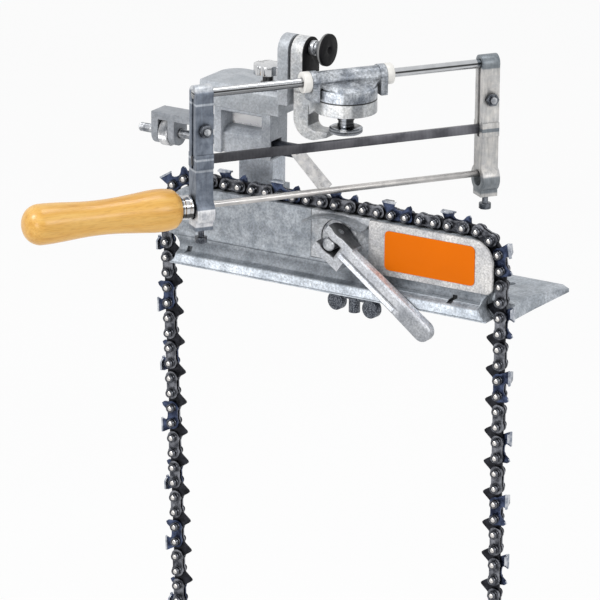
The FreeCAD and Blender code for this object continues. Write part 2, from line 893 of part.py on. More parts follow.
def clamp_lever():
    """Drawn with X along the lever, Z along its pin and Y away from the user."""
    front = -s.head_depth
    half_width = s.head_width / 2
    head = block((0, s.head_length), (front, s.head_depth), (-half_width, half_width))
    heel = block((-s.head_back, 1), (front, s.cam_throw), (-half_width, half_width))
    cam = rod("z", (0, s.cam_throw), (-half_width, half_width), s.cam_radius)
    middle = s.lever_offset
    root_half = s.lever_root_width / 2
    tip_half = s.lever_tip_width / 2
    arm_points = [(s.fork_depth, middle - root_half), (s.lever_length, middle - tip_half),
                  (s.lever_length, middle + tip_half), (s.fork_depth, middle + root_half)]
    arm = plate("xz", arm_points, (front, front + s.lever_thickness),
                [(tip_half - 0.3, [1, 2])])
    rib = block((s.lever_rib_start, s.lever_rib_end), (front - s.lever_rib_height, front + 1),
                (-s.lever_rib_drop, -s.lever_rib_drop + s.lever_rib_width))
    fork = block((-s.head_back - 9, s.fork_depth), (front - 9, s.head_depth + 9),
                 (-s.fork_gap / 2, s.fork_gap / 2))
    pin_hole = rod("z", (0, 0), (-s.head_width, s.head_width), s.pin_radius + FINE_GAP)
    finish("clamp_lever", [cut(fuse(head, heel, cam, arm, rib), fork, pin_hole)], **lever_spot())


def lever_pin():
    half_width = s.head_width / 2
    finish("lever_pin", [rod("z", (0, 0), (-half_width, half_width), s.pin_radius)],
           **lever_spot())


def wing_screw():
    """Drawn about its own axis and then turned, as it is left in the photograph."""
    middle = -s.wing_screw_drop
    hub = rod("z", (0, 0), (middle - 4.5, middle + 4.5), s.wing_hub_radius)
    stem = rod("z", (0, 0), (middle, -s.wing_stem_end), s.wing_stem_radius)
    web_low = middle + s.wing_web_low
    web = block((-s.wing_span, s.wing_span), (-s.wing_thickness / 3, s.wing_thickness / 3),
                (web_low, web_low + s.wing_web_height))
    lobes = [rod("y", (side * s.wing_span, middle),
                 (-s.wing_thickness / 2, s.wing_thickness / 2), s.wing_lobe_radius)
             for side in (-1, 1)]
    finish("wing_screw", [fuse(hub, stem, web, *lobes)],
           at=(s.wing_screw_x, 0, 0), angle=-s.wing_angle)


# Rear column with its box and the bracket of the chain stop

def fork_legs():
    """Low and high X of the two legs that hold the adjusting wheel."""
    near = s.wheel_thickness / 2 + s.wheel_play
    return [(-s.wheel_x - near - s.fork_leg, -s.wheel_x - near),
            (-s.wheel_x + near, -s.wheel_x + near + s.fork_leg)]


def stop_bracket():
    height = s.stop_height
    pieces = []
    for span in fork_legs():
        pieces.append(block(span, (-s.fork_half, s.fork_half), (height, s.fork_top)))
        pieces.append(rod("x", (0, height), span, s.fork_half))
    pieces.append(block((fork_legs()[0][0], -s.box_left + 1), (-s.fork_half, s.fork_half),
                        (s.fork_top - s.fork_bridge, s.fork_top)))
    return pieces


def box_right():
    return -s.box_left + s.box_width


def key_span():
    """X span of the key that the top block slides on."""
    return (-s.column_left + 4, -s.column_left + 4 + s.key_width)


def column_casting():
    top = column_top()
    left = -s.column_left
    right = left + s.column_width
    back = s.column_front + s.column_depth
    shaft = block((left, right), (s.column_front, back), (-s.column_foot, top))
    neck = block((left, right), (s.box_back - 1, s.column_front + 1), (s.box_bottom, top))
    body = block((-s.box_left, box_right()), (-s.box_front, s.box_back), (s.box_bottom, top))
    key = block(key_span(), (-s.key_front, s.box_back), (top - 1, top + s.key_height))
    casting = fuse(shaft, neck, body, key, *stop_bracket())

    inner = (-s.box_left + s.post_left, box_right() - s.post_right)
    ledge_top = s.panel_top + s.ledge_rise
    window = block(inner, (-s.box_front - 1, -s.box_front + s.window_depth),
                   (ledge_top, top - s.box_roof))
    front = -s.box_front
    roof_low = top - s.box_roof
    lip = plate("yz", [(front - 1, top - s.window_lip), (front, top - s.window_lip),
                       (front + s.window_lip_depth, roof_low),
                       (front + s.window_lip_depth, roof_low - 1), (front - 1, roof_low - 1)],
                inner)
    step = front + s.panel_step
    under = s.box_bottom - 1
    recess = plate("yz", [(front - 1, under), (step, under),
                          (step, s.panel_top), (step + s.panel_step * 2, ledge_top),
                          (step + s.panel_step * 2, ledge_top + 1), (front - 1, ledge_top + 1)],
                   inner)
    room = s.stop_travel + s.wheel_play * 2
    gap = s.wheel_play
    slide_room = block((stop_block_left() - room, box_right() - s.post_right),
                       (-s.stop_block_half - gap, s.stop_block_half + gap),
                       (stop_block_bottom() - gap, s.tongue_top + gap))
    tongue_room = block((box_right() - s.post_right, box_right() + 1),
                        (-s.tongue_slot_front, tongue_span()[1] + gap),
                        (tongue_bottom() - gap, s.tongue_top + s.tongue_slot_rise))
    rod_room = rod("x", (0, s.stop_height), (fork_legs()[0][0] - 1, stop_block_left()),
                   s.stop_rod_radius + gap)
    star_hole = rod("z", (-s.star_x, 0), (top - s.box_roof - 1, top + 1),
                    s.star_stem_radius + FINE_GAP)
    tools = [window, lip, recess, slide_room, tongue_room, rod_room, star_hole]
    for spot in column_bolt_places():
        tools.append(rod("z", spot, (-s.column_foot - 1, s.column_bolt_grip),
                         s.column_bolt_radius + FINE_GAP))
    finish("column_casting", [cut(casting, *tools)])


def column_bolts():
    bolts = [socket_screw("z", spot, -s.column_bolt_seat, -(s.column_bolt_seat + 5),
                          s.column_bolt_grip - 1, s.column_bolt_head, s.column_bolt_radius,
                          s.column_bolt_radius * 1.6)
             for spot in column_bolt_places()]
    finish("column_bolts", bolts)


# Chain stop: wheel, screw, tongue, pawl and its pin

def stop_block_left():
    return box_right() - s.post_right - s.stop_block_length


def stop_block_bottom():
    return s.stop_height - s.stop_rod_radius - 1


def tongue_span():
    """Y span of the tongue, just behind the pawl that hangs in the chain's middle."""
    near = s.pawl_thickness / 2 + s.wheel_play
    return (near, near + s.tongue_thickness)


def tongue_bottom():
    return s.tongue_top - s.tongue_end_radius * 2


def pawl_spot():
    """Axis of the pawl's pin, as X and Z."""
    return (-s.tongue_end, s.tongue_top - s.tongue_end_radius)


def adjusting_wheel():
    span = (-s.wheel_x - s.wheel_thickness / 2, -s.wheel_x + s.wheel_thickness / 2)
    wheel = washer("x", (0, s.stop_height), span, s.wheel_radius, s.stop_rod_radius + FINE_GAP)
    finish("adjusting_wheel", [wheel])


def adjusting_screw():
    span = (-s.stop_rod_reach, stop_block_left() + s.stop_rod_grip)
    finish("adjusting_screw", [rod("x", (0, s.stop_height), span, s.stop_rod_radius)])


def stop_tongue():
    """A block inside the box with an upright tongue that sticks out over the chain."""
    right = box_right() - s.post_right - s.wheel_play
    inside = block((stop_block_left(), right), (-s.stop_block_half, s.stop_block_half),
                   (stop_block_bottom(), s.tongue_top))
    x, z = pawl_spot()
    tongue = block((right - 1, x), tongue_span(), (tongue_bottom(), s.tongue_top))
    end = rod("y", (x, z), tongue_span(), s.tongue_end_radius)
    pin_hole = rod("y", (x, z), (0, tongue_span()[1] + 1), s.pawl_pin_radius + FINE_GAP)
    screw_hole = rod("x", (0, s.stop_height), (stop_block_left() - 1,
                     stop_block_left() + s.stop_rod_grip), s.stop_rod_radius)
    finish("stop_tongue", [cut(fuse(inside, tongue, end), pin_hole, screw_hole)])


def pawl_pin():
    span = (-s.pawl_thickness / 2, tongue_span()[1])
    finish("pawl_pin", [rod("y", pawl_spot(), span, s.pawl_pin_radius)])


def stop_pawl():
    """Drawn with X down the strip and Z square to it, about the pin's axis."""
    half = s.pawl_thickness / 2
    eye = s.tongue_end_radius
    tip = s.pawl_tip_half
    points = [(0, -eye), (s.pawl_length - s.pawl_tip_clip, -tip), (s.pawl_length, 0),
              (s.pawl_length, tip), (0, eye)]
    strip = plate("xz", points, (-half, half))
    round_end = rod("y", (0, 0), (-half, half), eye)
    pin_hole = rod("y", (0, 0), (-half - 1, half + 1), s.pawl_pin_radius + FINE_GAP)
    dimple = rod("y", (s.pawl_length - s.pawl_dimple_inset, 0), (-half - 1, -half / 2),
                 s.pawl_dimple_radius)
    x, z = pawl_spot()
    finish("stop_pawl", [cut(fuse(strip, round_end), pin_hole, dimple)],
           at=(x, 0, z), axis=(0, 1, 0), angle=s.pawl_angle)


# Top block, star knob and tilt joint

def ear_right():
    return -s.ear_left + s.ear_thickness


def rounded_ear(x_span, low):
    """An upright ear with a round top, its crown a little above the tilt axis."""
    middle = tilt_height() + s.ear_crown - s.ear_radius
    return fuse(block(x_span, (-s.ear_radius, s.ear_radius), (low, middle)),
                rod("x", (0, middle), x_span, s.ear_radius))


def top_block():
    low, top = block_bottom(), block_top()
    left, right = -s.block_left, -s.ear_left
    front, back = -s.block_front, s.block_back
    points = [(left, front), (right + 1, front), (right + 1, back), (left, back)]
    slab = plate("xy", points, (low, top), [(s.block_corner, [3]), (3.0, [0, 2])])
    ear = rounded_ear((right, ear_right()), low + s.ear_undercut)
    bevel = s.block_bevel
    bevel_tool = plate("yz", [(front - 1, top - bevel), (front, top - bevel), (front + bevel, top),
                              (front + bevel, top + 1), (front - 1, top + 1)],
                       (left - 1, right))
    half_slot = s.star_stem_radius + s.wheel_play
    room = s.block_travel + s.wheel_play
    slot = block((-s.star_x - half_slot, -s.star_x + half_slot), (-room, room), (low - 1, top + 1))
    slot_ends = [rod("z", (-s.star_x, y), (low - 1, top + 1), half_slot) for y in (-room, room)]
    key_left, key_right = key_span()
    groove = block((key_left - s.slide_gap, key_right + s.slide_gap),
                   (-(s.key_front + room), back + 1), (low - 1, low + s.key_height))
    bolt_hole = rod("x", (0, tilt_height()), (right - 1, ear_right() + 1),
                    s.tilt_bolt_radius + s.tilt_fit)
    head_seat = hexagon("x", (0, tilt_height()), (right - 1, right + s.tilt_head_height),
                        s.tilt_head_flats + s.slide_gap)
    finish("top_block", [cut(fuse(slab, ear), bevel_tool, slot, *slot_ends, groove, bolt_hole,
                             head_seat)])


def star_knob():
    centre = (-s.star_x, 0)
    low = block_top() + s.star_stand_off
    high = low + s.star_height
    head = rod("z", centre, (low, high), s.star_radius)
    flutes = []
    for lobe in range(SIZES["star_lobes_count"]):
        turn = as_size(FULL_TURN * (lobe + 0.5)) / s.star_lobes_count
        x = -s.star_x + (s.star_radius + s.flute_out) * cosine(turn)
        y = (s.star_radius + s.flute_out) * sine(turn)
        flutes.append(rod("z", (x, y), (low - 1, high + 1), s.flute_radius))
    foot = block_top() + s.star_washer_thickness + s.slide_gap
    boss = rod("z", centre, (foot, foot + s.star_neck_height), s.star_boss_radius)
    stem = rod("z", centre, (column_top() - s.box_roof, low), s.star_stem_radius)
    finish("star_knob", [fuse(cut(head, *flutes), boss, stem)])
    ring = washer("z", centre, (block_top() + s.slide_gap / 2,
                                block_top() + s.slide_gap / 2 + s.star_washer_thickness),
                  s.star_radius - 1, s.star_stem_radius + FINE_GAP)
    finish("star_knob_washer", [ring])


def tilt_bolt():
    height = tilt_height()
    left = -s.ear_left
    seat = left + s.tilt_head_height
    head = hexagon("x", (0, height), (left + s.slide_gap, seat), s.tilt_head_flats)
    shank = rod("x", (0, height), (seat - 1, knob_start() + s.tilt_bolt_grip), s.tilt_bolt_radius)
    finish("tilt_bolt", [fuse(head, shank)])


def friction_plate():
    """The dark plate between the swing arm's ear and the tilt knob."""
    left = arm_ear_right()
    span = (left, left + s.friction_thickness)
    face = rounded_ear(span, band_top() + s.wheel_play)
    hole = rod("x", (0, tilt_height()), (left - 1, left + 5), s.tilt_bolt_radius + s.tilt_fit)
    finish("friction_plate", [cut(face, hole)])


def knob_start():
    return arm_ear_right() + s.friction_thickness + s.slide_gap


def tilt_knob():
    start = knob_start()
    centre = (0, tilt_height())
    neck = s.tilt_neck_radius
    hub = fuse(rod("x", centre, (start, start + 3.2), neck),
               rod("x", centre, (start + 3, start + 5.2), neck - 0.9),
               taper("x", centre, (start + 5, start + s.tilt_hub_length), neck,
                     s.tilt_knob_radius - 0.9))
    bore = rod("x", centre, (start - 1, start + s.tilt_bolt_grip), s.tilt_bolt_radius + FINE_GAP)
    finish("tilt_knob_hub", [cut(hub, bore)])
    face = start + s.tilt_hub_length
    disc = rod("x", centre, (face, face + s.tilt_disc_thickness), s.tilt_knob_radius)
    dimple = taper("x", centre, (face + s.tilt_disc_thickness - 1.2, face + s.tilt_disc_thickness),
                   1.0, 2.6)
    finish("tilt_knob", [cut(disc, dimple)])


# Swing arm and swivel head

def band_left():
    return arm_ear_left() + 0.5


def band_right():
    return band_left() + s.arm_band


def band_top():
    return tilt_height() - s.arm_band_drop


def swing_arm():
    """The C-shaped arm: ear, band, foot under the nut and the lower disc."""
    low = rod_height() - s.arm_foot_drop
    foot_top = low + s.arm_foot_height
    tip = -(s.head_x + s.arm_reach)
    left, right = band_left(), band_right()
    disc_low, disc_high = lower_disc_bottom(), lower_disc_top()
    web = -(s.head_x + s.disc_radius) + 2
    points = [(left, band_top()), (left, low), (right + 3.5, low), (tip, low + s.arm_foot_lift),
              (tip, foot_top + 0.3), (right, foot_top), (right, disc_low - 4.5), (web, disc_low),
              (web, disc_high), (right, disc_high), (right, band_top())]
    band = plate("xz", points, (-s.arm_half, s.arm_half), [(s.arm_corner, [1]), (4.5, [5])])
    ear = rounded_ear((arm_ear_left(), arm_ear_right()), band_top() - 4)
    centre = (-s.head_x, 0)
    disc = rod("z", centre, (disc_low, disc_high), s.disc_radius)
    hub = rod("z", centre, (disc_low - s.arm_hub_height, disc_low + 1), s.spindle_radius + 2.5)
    bolt_hole = rod("x", (0, tilt_height()), (arm_ear_left() - 1, arm_ear_right() + 1),
                    s.tilt_bolt_radius + s.tilt_fit)
    spindle_hole = rod("z", centre, (disc_low - s.arm_hub_height - 1, disc_high + 1),
                       s.spindle_radius + FINE_GAP)
    finish("swing_arm", [cut(fuse(band, ear, disc, hub), bolt_hole, spindle_hole)])


def head_spot():
    """The head's own frame: X along the file, Y square to it, about the swivel axis."""
    return {"at": (-s.head_x, 0, 0), "angle": 90 - s.filing_angle}


def finish_head(name, pieces):
    finish(name, pieces, **head_spot())


def swivel_head():
    height = rod_height()
    top = disc_top()
    disc = rod("z", (0, 0), (top - s.upper_disc, top), s.disc_radius)
    outer = s.barrel_half + s.flange_plate
    barrel = rod("x", (0, height), (-outer + 1, outer - 1), s.barrel_radius)
    saddle = block((-s.saddle_half, s.saddle_half), (-s.barrel_radius + 0.4, s.barrel_radius - 0.4),
                   (top - 1, height))
    flanges = []
    for span in ((-outer, -s.barrel_half), (s.barrel_half, outer)):
        flanges.append(block(span, (-s.flange_half, s.flange_half), (height - s.flange_foot, height)))
        flanges.append(rod("x", (0, height), span, s.flange_half))
    bore = rod("x", (0, height), (-outer - 1, outer + 1), s.bush_sleeve_radius + FINE_GAP)
    spindle_hole = rod("z", (0, 0), (top - s.upper_disc - 1, top - 1), s.spindle_radius)
    finish_head("swivel_head", [cut(fuse(disc, barrel, saddle, *flanges), bore, spindle_hole)])


def swivel_spindle():
    finish_head("swivel_spindle", [rod("z", (0, 0), (nut_bottom() - 0.6, disc_top() - 1),
                                       s.spindle_radius)])


def swivel_nut():
    low = nut_bottom()
    disc = rod("z", (0, 0), (low, low + s.nut_height), s.nut_radius)
    neck = rod("z", (0, 0), (low + 1, lower_disc_bottom() - s.arm_hub_height - s.slide_gap),
               s.nut_neck)
    bore = rod("z", (0, 0), (low - 1, lower_disc_bottom()), s.spindle_radius + FINE_GAP)
    finish_head("swivel_nut", [cut(fuse(disc, neck), bore)])


def bush(name, side):
    """A flanged nylon bush; side is -1 at the handle's end and 1 at the other."""
    height = rod_height()
    face = s.barrel_half + s.flange_plate + s.slide_gap
    spans = {"collar": (face, face + s.bush_flange),
             "sleeve": (face - s.bush_sleeve_length, face + 1)}
    if side < 0:
        spans = {part: (-high, -low) for part, (low, high) in spans.items()}
    collar = rod("x", (0, height), spans["collar"], s.flange_half)
    sleeve = rod("x", (0, height), spans["sleeve"], s.bush_sleeve_radius)
    bore = rod("x", (0, height), (-face * 2, face * 2), s.rod_radius + s.bush_fit)
    finish_head(name, [cut(fuse(collar, sleeve), bore)])


# File frame

def flat_file_height():
    return rod_height() - s.flat_file_drop


def boss_height():
    return s.file_height - s.boss_drop


def arm_spans():
    half = s.file_arm_length / 2
    return {"left": (-s.file_arm_middle - half, -s.file_arm_middle + half),
            "right": (s.file_arm_middle - half, s.file_arm_middle + half)}


def arm_middles():
    return (-s.file_arm_middle, s.file_arm_middle)


def file_arm(name, span):
    """One upright of the file frame: an eye on the guide rod, a slit and a boss."""
    height = rod_height()
    half = s.file_arm_half
    low = s.file_height - s.boss_bottom
    middle = (span[0] + span[1]) / 2
    shank = block(span, (-half, half), (boss_height(), height))
    eye = rod("x", (0, height), span, s.eye_radius)
    boss = rod("x", (0, boss_height()), span, s.boss_radius)
    foot = block(span, (-half, half), (low, boss_height()))
    file_middle = flat_file_height()
    bulge = s.flat_file_height * 0.78
    cheek = [(-half - 0.8, file_middle - bulge), (half + 0.8, file_middle - bulge),
             (half + 0.8, file_middle + bulge), (-half - 0.8, file_middle + bulge)]
    band = plate("yz", cheek, span)
    slit = block((span[0] - 1, span[1] + 1), (-s.arm_slit / 2, s.arm_slit / 2),
                 (height - s.slit_end, height))
    rod_hole = rod("x", (0, height), (span[0] - 1, span[1] + 1), s.rod_radius + FINE_GAP)
    boss_hole = rod("x", (0, boss_height()), (span[0] - 1, span[1] + 1), s.boss_hole_radius)
    bolt_hole = rod("y", (middle, height - s.arm_bolt_drop), (-half - 1, half + 1),
                    s.arm_bolt_radius + FINE_GAP)
    screw_hole = rod("z", (middle, 0), (low - 1, boss_height()), s.file_screw_radius + FINE_GAP)
    finish_head(name, [cut(fuse(shank, eye, boss, foot, band),
                           slit, rod_hole, boss_hole, bolt_hole, screw_hole)])


def frame_bolts():
    height = rod_height() - s.arm_bolt_drop
    half = s.file_arm_half
    bolts = []
    nuts = []
    for x in arm_middles():
        centre = (x, height)
        bolts.append(socket_screw("y", centre, half, half + s.arm_bolt_cap,
                                  -(half + s.arm_nut_height + 1), s.arm_bolt_radius * 1.75,
                                  s.arm_bolt_radius, s.arm_bolt_radius * 1.5))
        low, high = -(half + s.arm_nut_height), -half
        nuts.append(cut(hexagon("y", centre, (low, high), s.arm_nut_flats),
                        rod("y", centre, (low - 1, high + 1), s.arm_bolt_radius + FINE_GAP)))
    finish_head("frame_bolts", bolts)
    finish_head("frame_nuts", nuts)


def file_screws():
    low = s.file_height - s.boss_bottom
    screws = []
    for x in arm_middles():
        head_top = low - s.file_screw_stand_off
        head = rod("z", (x, 0), (head_top - s.file_screw_cap, head_top), s.file_screw_head)
        shank = rod("z", (x, 0), (head_top - 1, s.file_height - s.round_file_radius - FINE_GAP),
                    s.file_screw_radius)
        slot = block((x - s.file_screw_head - 1, x + s.file_screw_head + 1), (-0.5, 0.5),
                     (head_top - s.file_screw_cap - 1, head_top - s.file_screw_cap + 1))
        screws.append(cut(fuse(head, shank), slot))
    finish_head("file_screws", screws)


def guide_rod():
    reach = s.file_arm_middle + s.file_arm_length / 2
    finish_head("guide_rod", [rod("x", (0, rod_height()), (-reach, reach), s.rod_radius)])


def flat_file():
    reach = s.file_arm_middle + s.file_arm_length / 2 + 0.6
    middle = flat_file_height()
    finish_head("flat_file", [block((-reach, reach),
                                    (-s.flat_file_thickness / 2, s.flat_file_thickness / 2),
                                    (middle - s.flat_file_height / 2,
                                     middle + s.flat_file_height / 2))])


def ferrule_end():
    """Front face of the ferrule, just clear of the left frame arm."""
    return -(s.file_arm_middle + s.file_arm_length / 2 + s.slide_gap * 4)


def round_file():
    centre = (0, s.file_height)
    neck = ferrule_end() - 1
    blade = rod("x", centre, (neck, s.file_arm_middle), s.round_file_radius)
    tang = taper("x", centre, (neck - s.tang_length, neck), 0.8, s.round_file_radius)
    finish_head("round_file", [fuse(blade, tang)])


def ferrule():
    centre = (0, s.file_height)
    front = ferrule_end()
    back = front - s.ferrule_length
    shell = fuse(rod("x", centre, (back, front - 1.4), s.ferrule_radius),
                 taper("x", centre, (front - 1.4, front), s.ferrule_radius,
                       s.ferrule_radius - 1.2))
    nose = rod("x", centre, (back - 1, front - 1.6), s.handle_nose_radius)
    hole = rod("x", centre, (front - 2, front + 1), s.round_file_radius + FINE_GAP)
    finish_head("ferrule", [cut(shell, nose, hole)])


def handle():
    """A turned wooden handle: a smooth curve through its turned radii, spun about X."""
    front = ferrule_end().value - 1.6
    nose = s.handle_nose_radius.value - FINE_GAP
    shoulder = ferrule_end().value - s.ferrule_length.value - FINE_GAP
    length = s.handle_length.value
    full, waist = s.handle_radius.value, s.handle_waist.value
    profile = [(0.03, 0.92 * full), (0.09, full), (0.22, 0.97 * full), (0.42, waist),
               (0.62, waist), (0.80, 0.94 * full), (0.90, 0.96 * full)]
    swell = [FreeCAD.Vector(shoulder - length * share, 0, radius) for share, radius in profile]
    curve = Part.BSplineCurve()
    curve.interpolate(swell)
    nose_top = FreeCAD.Vector(shoulder, 0, full * 0.72)
    butt = FreeCAD.Vector(shoulder - length, 0, 0)
    butt_bend = FreeCAD.Vector(shoulder - length * 0.975, 0, full * 0.66)
    corners = [swell[0], nose_top, FreeCAD.Vector(shoulder, 0, nose),
               FreeCAD.Vector(front, 0, nose), FreeCAD.Vector(front, 0, 0), butt]
    edges = [Part.LineSegment(corners[index], corners[index + 1]).toShape()
             for index in range(len(corners) - 1)]
    edges.append(Part.Arc(butt, butt_bend, swell[-1]).toShape())
    edges.append(curve.toShape())
    face = Part.Face(Part.Wire(Part.__sortEdges__(edges)))
    spun = face.revolve(FreeCAD.Vector(0, 0, 0), FreeCAD.Vector(1, 0, 0), FULL_TURN)
    wood = doc.addObject("Part::Feature", "Wood")
    wood.Shape = spun if spun.Volume > 0 else spun.reversed()
    place(wood, (0, 0, s.file_height))
    neck = ferrule_end() - 1
    tang_room = taper("x", (0, s.file_height), (neck - s.tang_length - 1, neck + 1), 0.8,
                      s.round_file_radius + 0.1)
    finish_head("handle", [cut(wood, tang_room)])


# Saw chain: one link of each kind is made once and set round the whole loop

def loop_runs(right_run):
    """Runs of the closed loop as (length, bend radius), from the left end of the top run.

    The path goes clockwise seen from the user. Two unknowns close it: the radius of
    the lowest bend and the length of the left run.
    """
    corner = s.corner_radius.value
    hang = s.hang_radius.value
    hang_turn = math.radians(s.hang_turn.value)
    last_turn = math.radians(90 + s.strand_lean.value)
    low_turn = math.radians(270) - 2 * hang_turn - last_turn
    top_run = s.right_strand.value + s.left_strand.value - 2 * corner
    runs = [(top_run, 0), (corner * math.pi / 2, corner), (right_run, 0),
            (hang * hang_turn, hang), (low_turn, 1), (hang * hang_turn, hang),
            (1, 0), (corner * last_turn, corner)]
    heading = 0.0
    moves = []
    for length, radius in runs:
        turned = heading - (length / radius if radius else 0)
        if radius:
            moves.append(1j * radius * (cmath.rect(1, turned) - cmath.rect(1, heading)))
        else:
            moves.append(cmath.rect(length, heading))
        heading = turned
    low, left = moves[4], moves[6]
    rest = sum(moves) - low - left
    across = low.real * left.imag - low.imag * left.real
    low_radius = (left.real * rest.imag - left.imag * rest.real) / across
    left_run = (low.imag * rest.real - low.real * rest.imag) / across
    runs[4] = (low_turn * low_radius, low_radius)
    runs[6] = (left_run, 0)
    return runs


def spot_on_loop(runs, distance):
    """Place in the X-Z plane, as a complex number, at a distance along the loop."""
    spot = complex(-(s.left_strand.value - s.corner_radius.value), 0)
    heading = 0.0
    distance = distance % sum(length for length, radius in runs)
    for length, radius in runs:
        step = min(distance, length)
        if radius:
            turned = heading - step / radius
            spot += 1j * radius * (cmath.rect(1, turned) - cmath.rect(1, heading))
            heading = turned
        else:
            spot += cmath.rect(step, heading)
        distance -= step
        if distance <= 0:
            break
    return spot


def rivet_distances(runs):
    """Distances along the loop of the rivets, each one pitch in a straight line from the last."""
    pitch = s.pitch.value
    distance = s.first_rivet.value + s.left_strand.value - s.corner_radius.value
    distances = [distance]
    for rivet in range(rivet_count()):
        start = spot_on_loop(runs, distance)
        ahead = pitch
        for guess in range(5):
            ahead += pitch - abs(spot_on_loop(runs, distance + ahead) - start)
        distance += ahead
        distances.append(distance)
    return distances


def rivet_count():
    return 2 * SIZES["drive_link_count"]


def chain_spots():
    """Rivet places of the closed loop, its right run chosen so that the last link meets the first."""
    short, long = 10.0, 10.0 + s.pitch.value * rivet_count() / 2
    for halving in range(40):
        middle = (short + long) / 2
        runs = loop_runs(middle)
        distances = rivet_distances(runs)
        if distances[-1] - distances[0] > sum(length for length, radius in runs):
            short = middle
        else:
            long = middle
    return [spot_on_loop(runs, distance) for distance in distances[:-1]]


def disc(x, radius, span):
    """A round slab across the chain, as a bare shape in a link's own frame."""
    return Part.makeCylinder(radius, span[1] - span[0], FreeCAD.Vector(x, span[0], 0),
                             FreeCAD.Vector(0, 1, 0))


def slab(points, span):
    """A flat outline in X and Z across the chain, as a bare shape."""
    corners = [FreeCAD.Vector(x, span[0], z) for x, z in points]
    face = Part.Face(Part.makePolygon(corners + corners[:1]))
    return face.extrude(FreeCAD.Vector(0, span[1] - span[0], 0))


def link_plate(height, waist, span):
    """Two round ends joined by a narrower waist."""
    pitch = s.pitch.value
    bar = Part.makeBox(pitch, span[1] - span[0], waist, FreeCAD.Vector(0, span[0], -waist / 2))
    return bar.fuse([disc(0, height / 2, span), disc(pitch, height / 2, span)])


def bore(shape, span):
    radius = s.rivet_radius.value + s.rivet_play.value
    wide = (span[0] - 1, span[1] + 1)
    return shape.cut([disc(0, radius, wide), disc(s.pitch.value, radius, wide)]).removeSplitter()


def side_span():
    """Y span of a link on the user's side."""
    face = side_face().value
    return (-face, -face + s.strap_thickness.value)


def tie_strap():
    span = side_span()
    return bore(link_plate(s.strap_height.value, s.strap_waist.value, span), span)


def drive_link():
    half = s.drive_thickness.value / 2
    span = (-half, half)
    pitch = s.pitch.value
    waist = s.strap_waist.value
    tang = [(-0.12, 0.30), (0.10, 0.56), (0.30, 0.90), (0.40, 1.0), (0.52, 0.96),
            (0.86, 0.56), (1.16, 0.28)]
    points = [(pitch * x, -s.tang_depth.value * z) for x, z in tang]
    points += [(pitch, waist / 4), (0, waist / 4)]
    body = link_plate(s.strap_height.value - 0.8, waist - 0.6, span)
    return bore(body.fuse(slab(points, span)), span)


def cutter():
    """A cutter on the user's side: side plate, gauge and a top plate that reaches across."""
    span = side_span()
    pitch = s.pitch.value
    top = s.cutter_height.value
    gauge = top - s.gauge_drop.value
    front = s.cutting_edge.value
    back = front - s.top_plate_length.value
    under = top - s.top_plate_thickness.value
    rise = [(-3.4, 0), (back + 0.4, under - 0.8), (back, under), (back + 0.2, top),
            (front, top), (front - 0.7, under), (front - 1.3, 5.0), (front, 3.7),
            (pitch - 3.6, 2.9), (pitch - 1.3, 4.2), (pitch + 0.6, gauge - 0.7),
            (pitch + 2.3, gauge), (pitch + 3.3, gauge - 1.4), (pitch + 3.6, 0)]
    side = link_plate(s.strap_height.value, s.strap_waist.value, span).fuse(slab(rise, span))
    near = span[0] - s.top_plate_flare.value
    reach = s.top_plate_reach.value
    slope = reach * math.tan(math.radians(s.filing_angle.value))
    corners = [(back, near), (front, near), (front - slope, near + reach),
               (back + 0.8, near + reach)]
    outline = [FreeCAD.Vector(x, y, under) for x, y in corners]
    face = Part.Face(Part.makePolygon(outline + outline[:1]))
    return bore(side.fuse(face.extrude(FreeCAD.Vector(0, 0, top - under))), span)


def rivet():
    face = side_face().value
    head = s.rivet_head_radius.value
    height = s.rivet_head_height.value
    shank = disc(0, s.rivet_radius.value, (-face - height / 2, face + height / 2))
    ends = [Part.makeCone(head, head * 0.7, height, FreeCAD.Vector(0, side * face, 0),
                          FreeCAD.Vector(0, side, 0)) for side in (-1, 1)]
    return shank.fuse(ends).removeSplitter()


def set_round_loop(name, links):
    """Set bare links at their places in the loop; links holds (shape, rivet number) pairs."""
    spots = CHAIN_SPOTS
    solids = []
    for shape, number in links:
        start = spots[number]
        ahead = spots[(number + 1) % len(spots)] - start
        turn = FreeCAD.Rotation(FreeCAD.Vector(0, 1, 0), -math.degrees(cmath.phase(ahead)))
        link = shape.copy()
        link.Placement = FreeCAD.Placement(FreeCAD.Vector(start.real, 0, start.imag), turn)
        solids.append(link)
    part = doc.addObject("Part::Feature", name)
    part.Label = name
    part.Shape = Part.makeCompound(solids)
    place(part, guide_spot())
    PARTS.append(part)


def saw_chain():
    """Sides and middles alternate; every second pair of sides has a cutter, left and right in turn."""
    across = (FreeCAD.Vector(0, 0, 0), FreeCAD.Vector(0, 1, 0))
    near_cutter, near_strap = cutter(), tie_strap()
    far_cutter, far_strap = near_cutter.mirror(*across), near_strap.mirror(*across)
    numbers = range(rivet_count())
    drives = [(drive_link(), number) for number in numbers if number % 2 == 0]
    near = [number for number in numbers if number % 8 == 3]
    far = [number for number in numbers if number % 8 == 7]
    plain = [number for number in numbers if number % 4 == 1]
    straps = [(near_strap, number) for number in plain + far]
    straps += [(far_strap, number) for number in plain + near]
    set_round_loop("chain_drive_links", drives)
    set_round_loop("chain_tie_straps", straps)
    set_round_loop("chain_cutters_near", [(near_cutter, number) for number in near])
    set_round_loop("chain_cutters_far", [(far_cutter, number) for number in far])
    pin = rivet()
    set_round_loop("chain_rivets", [(pin, number) for number in numbers])


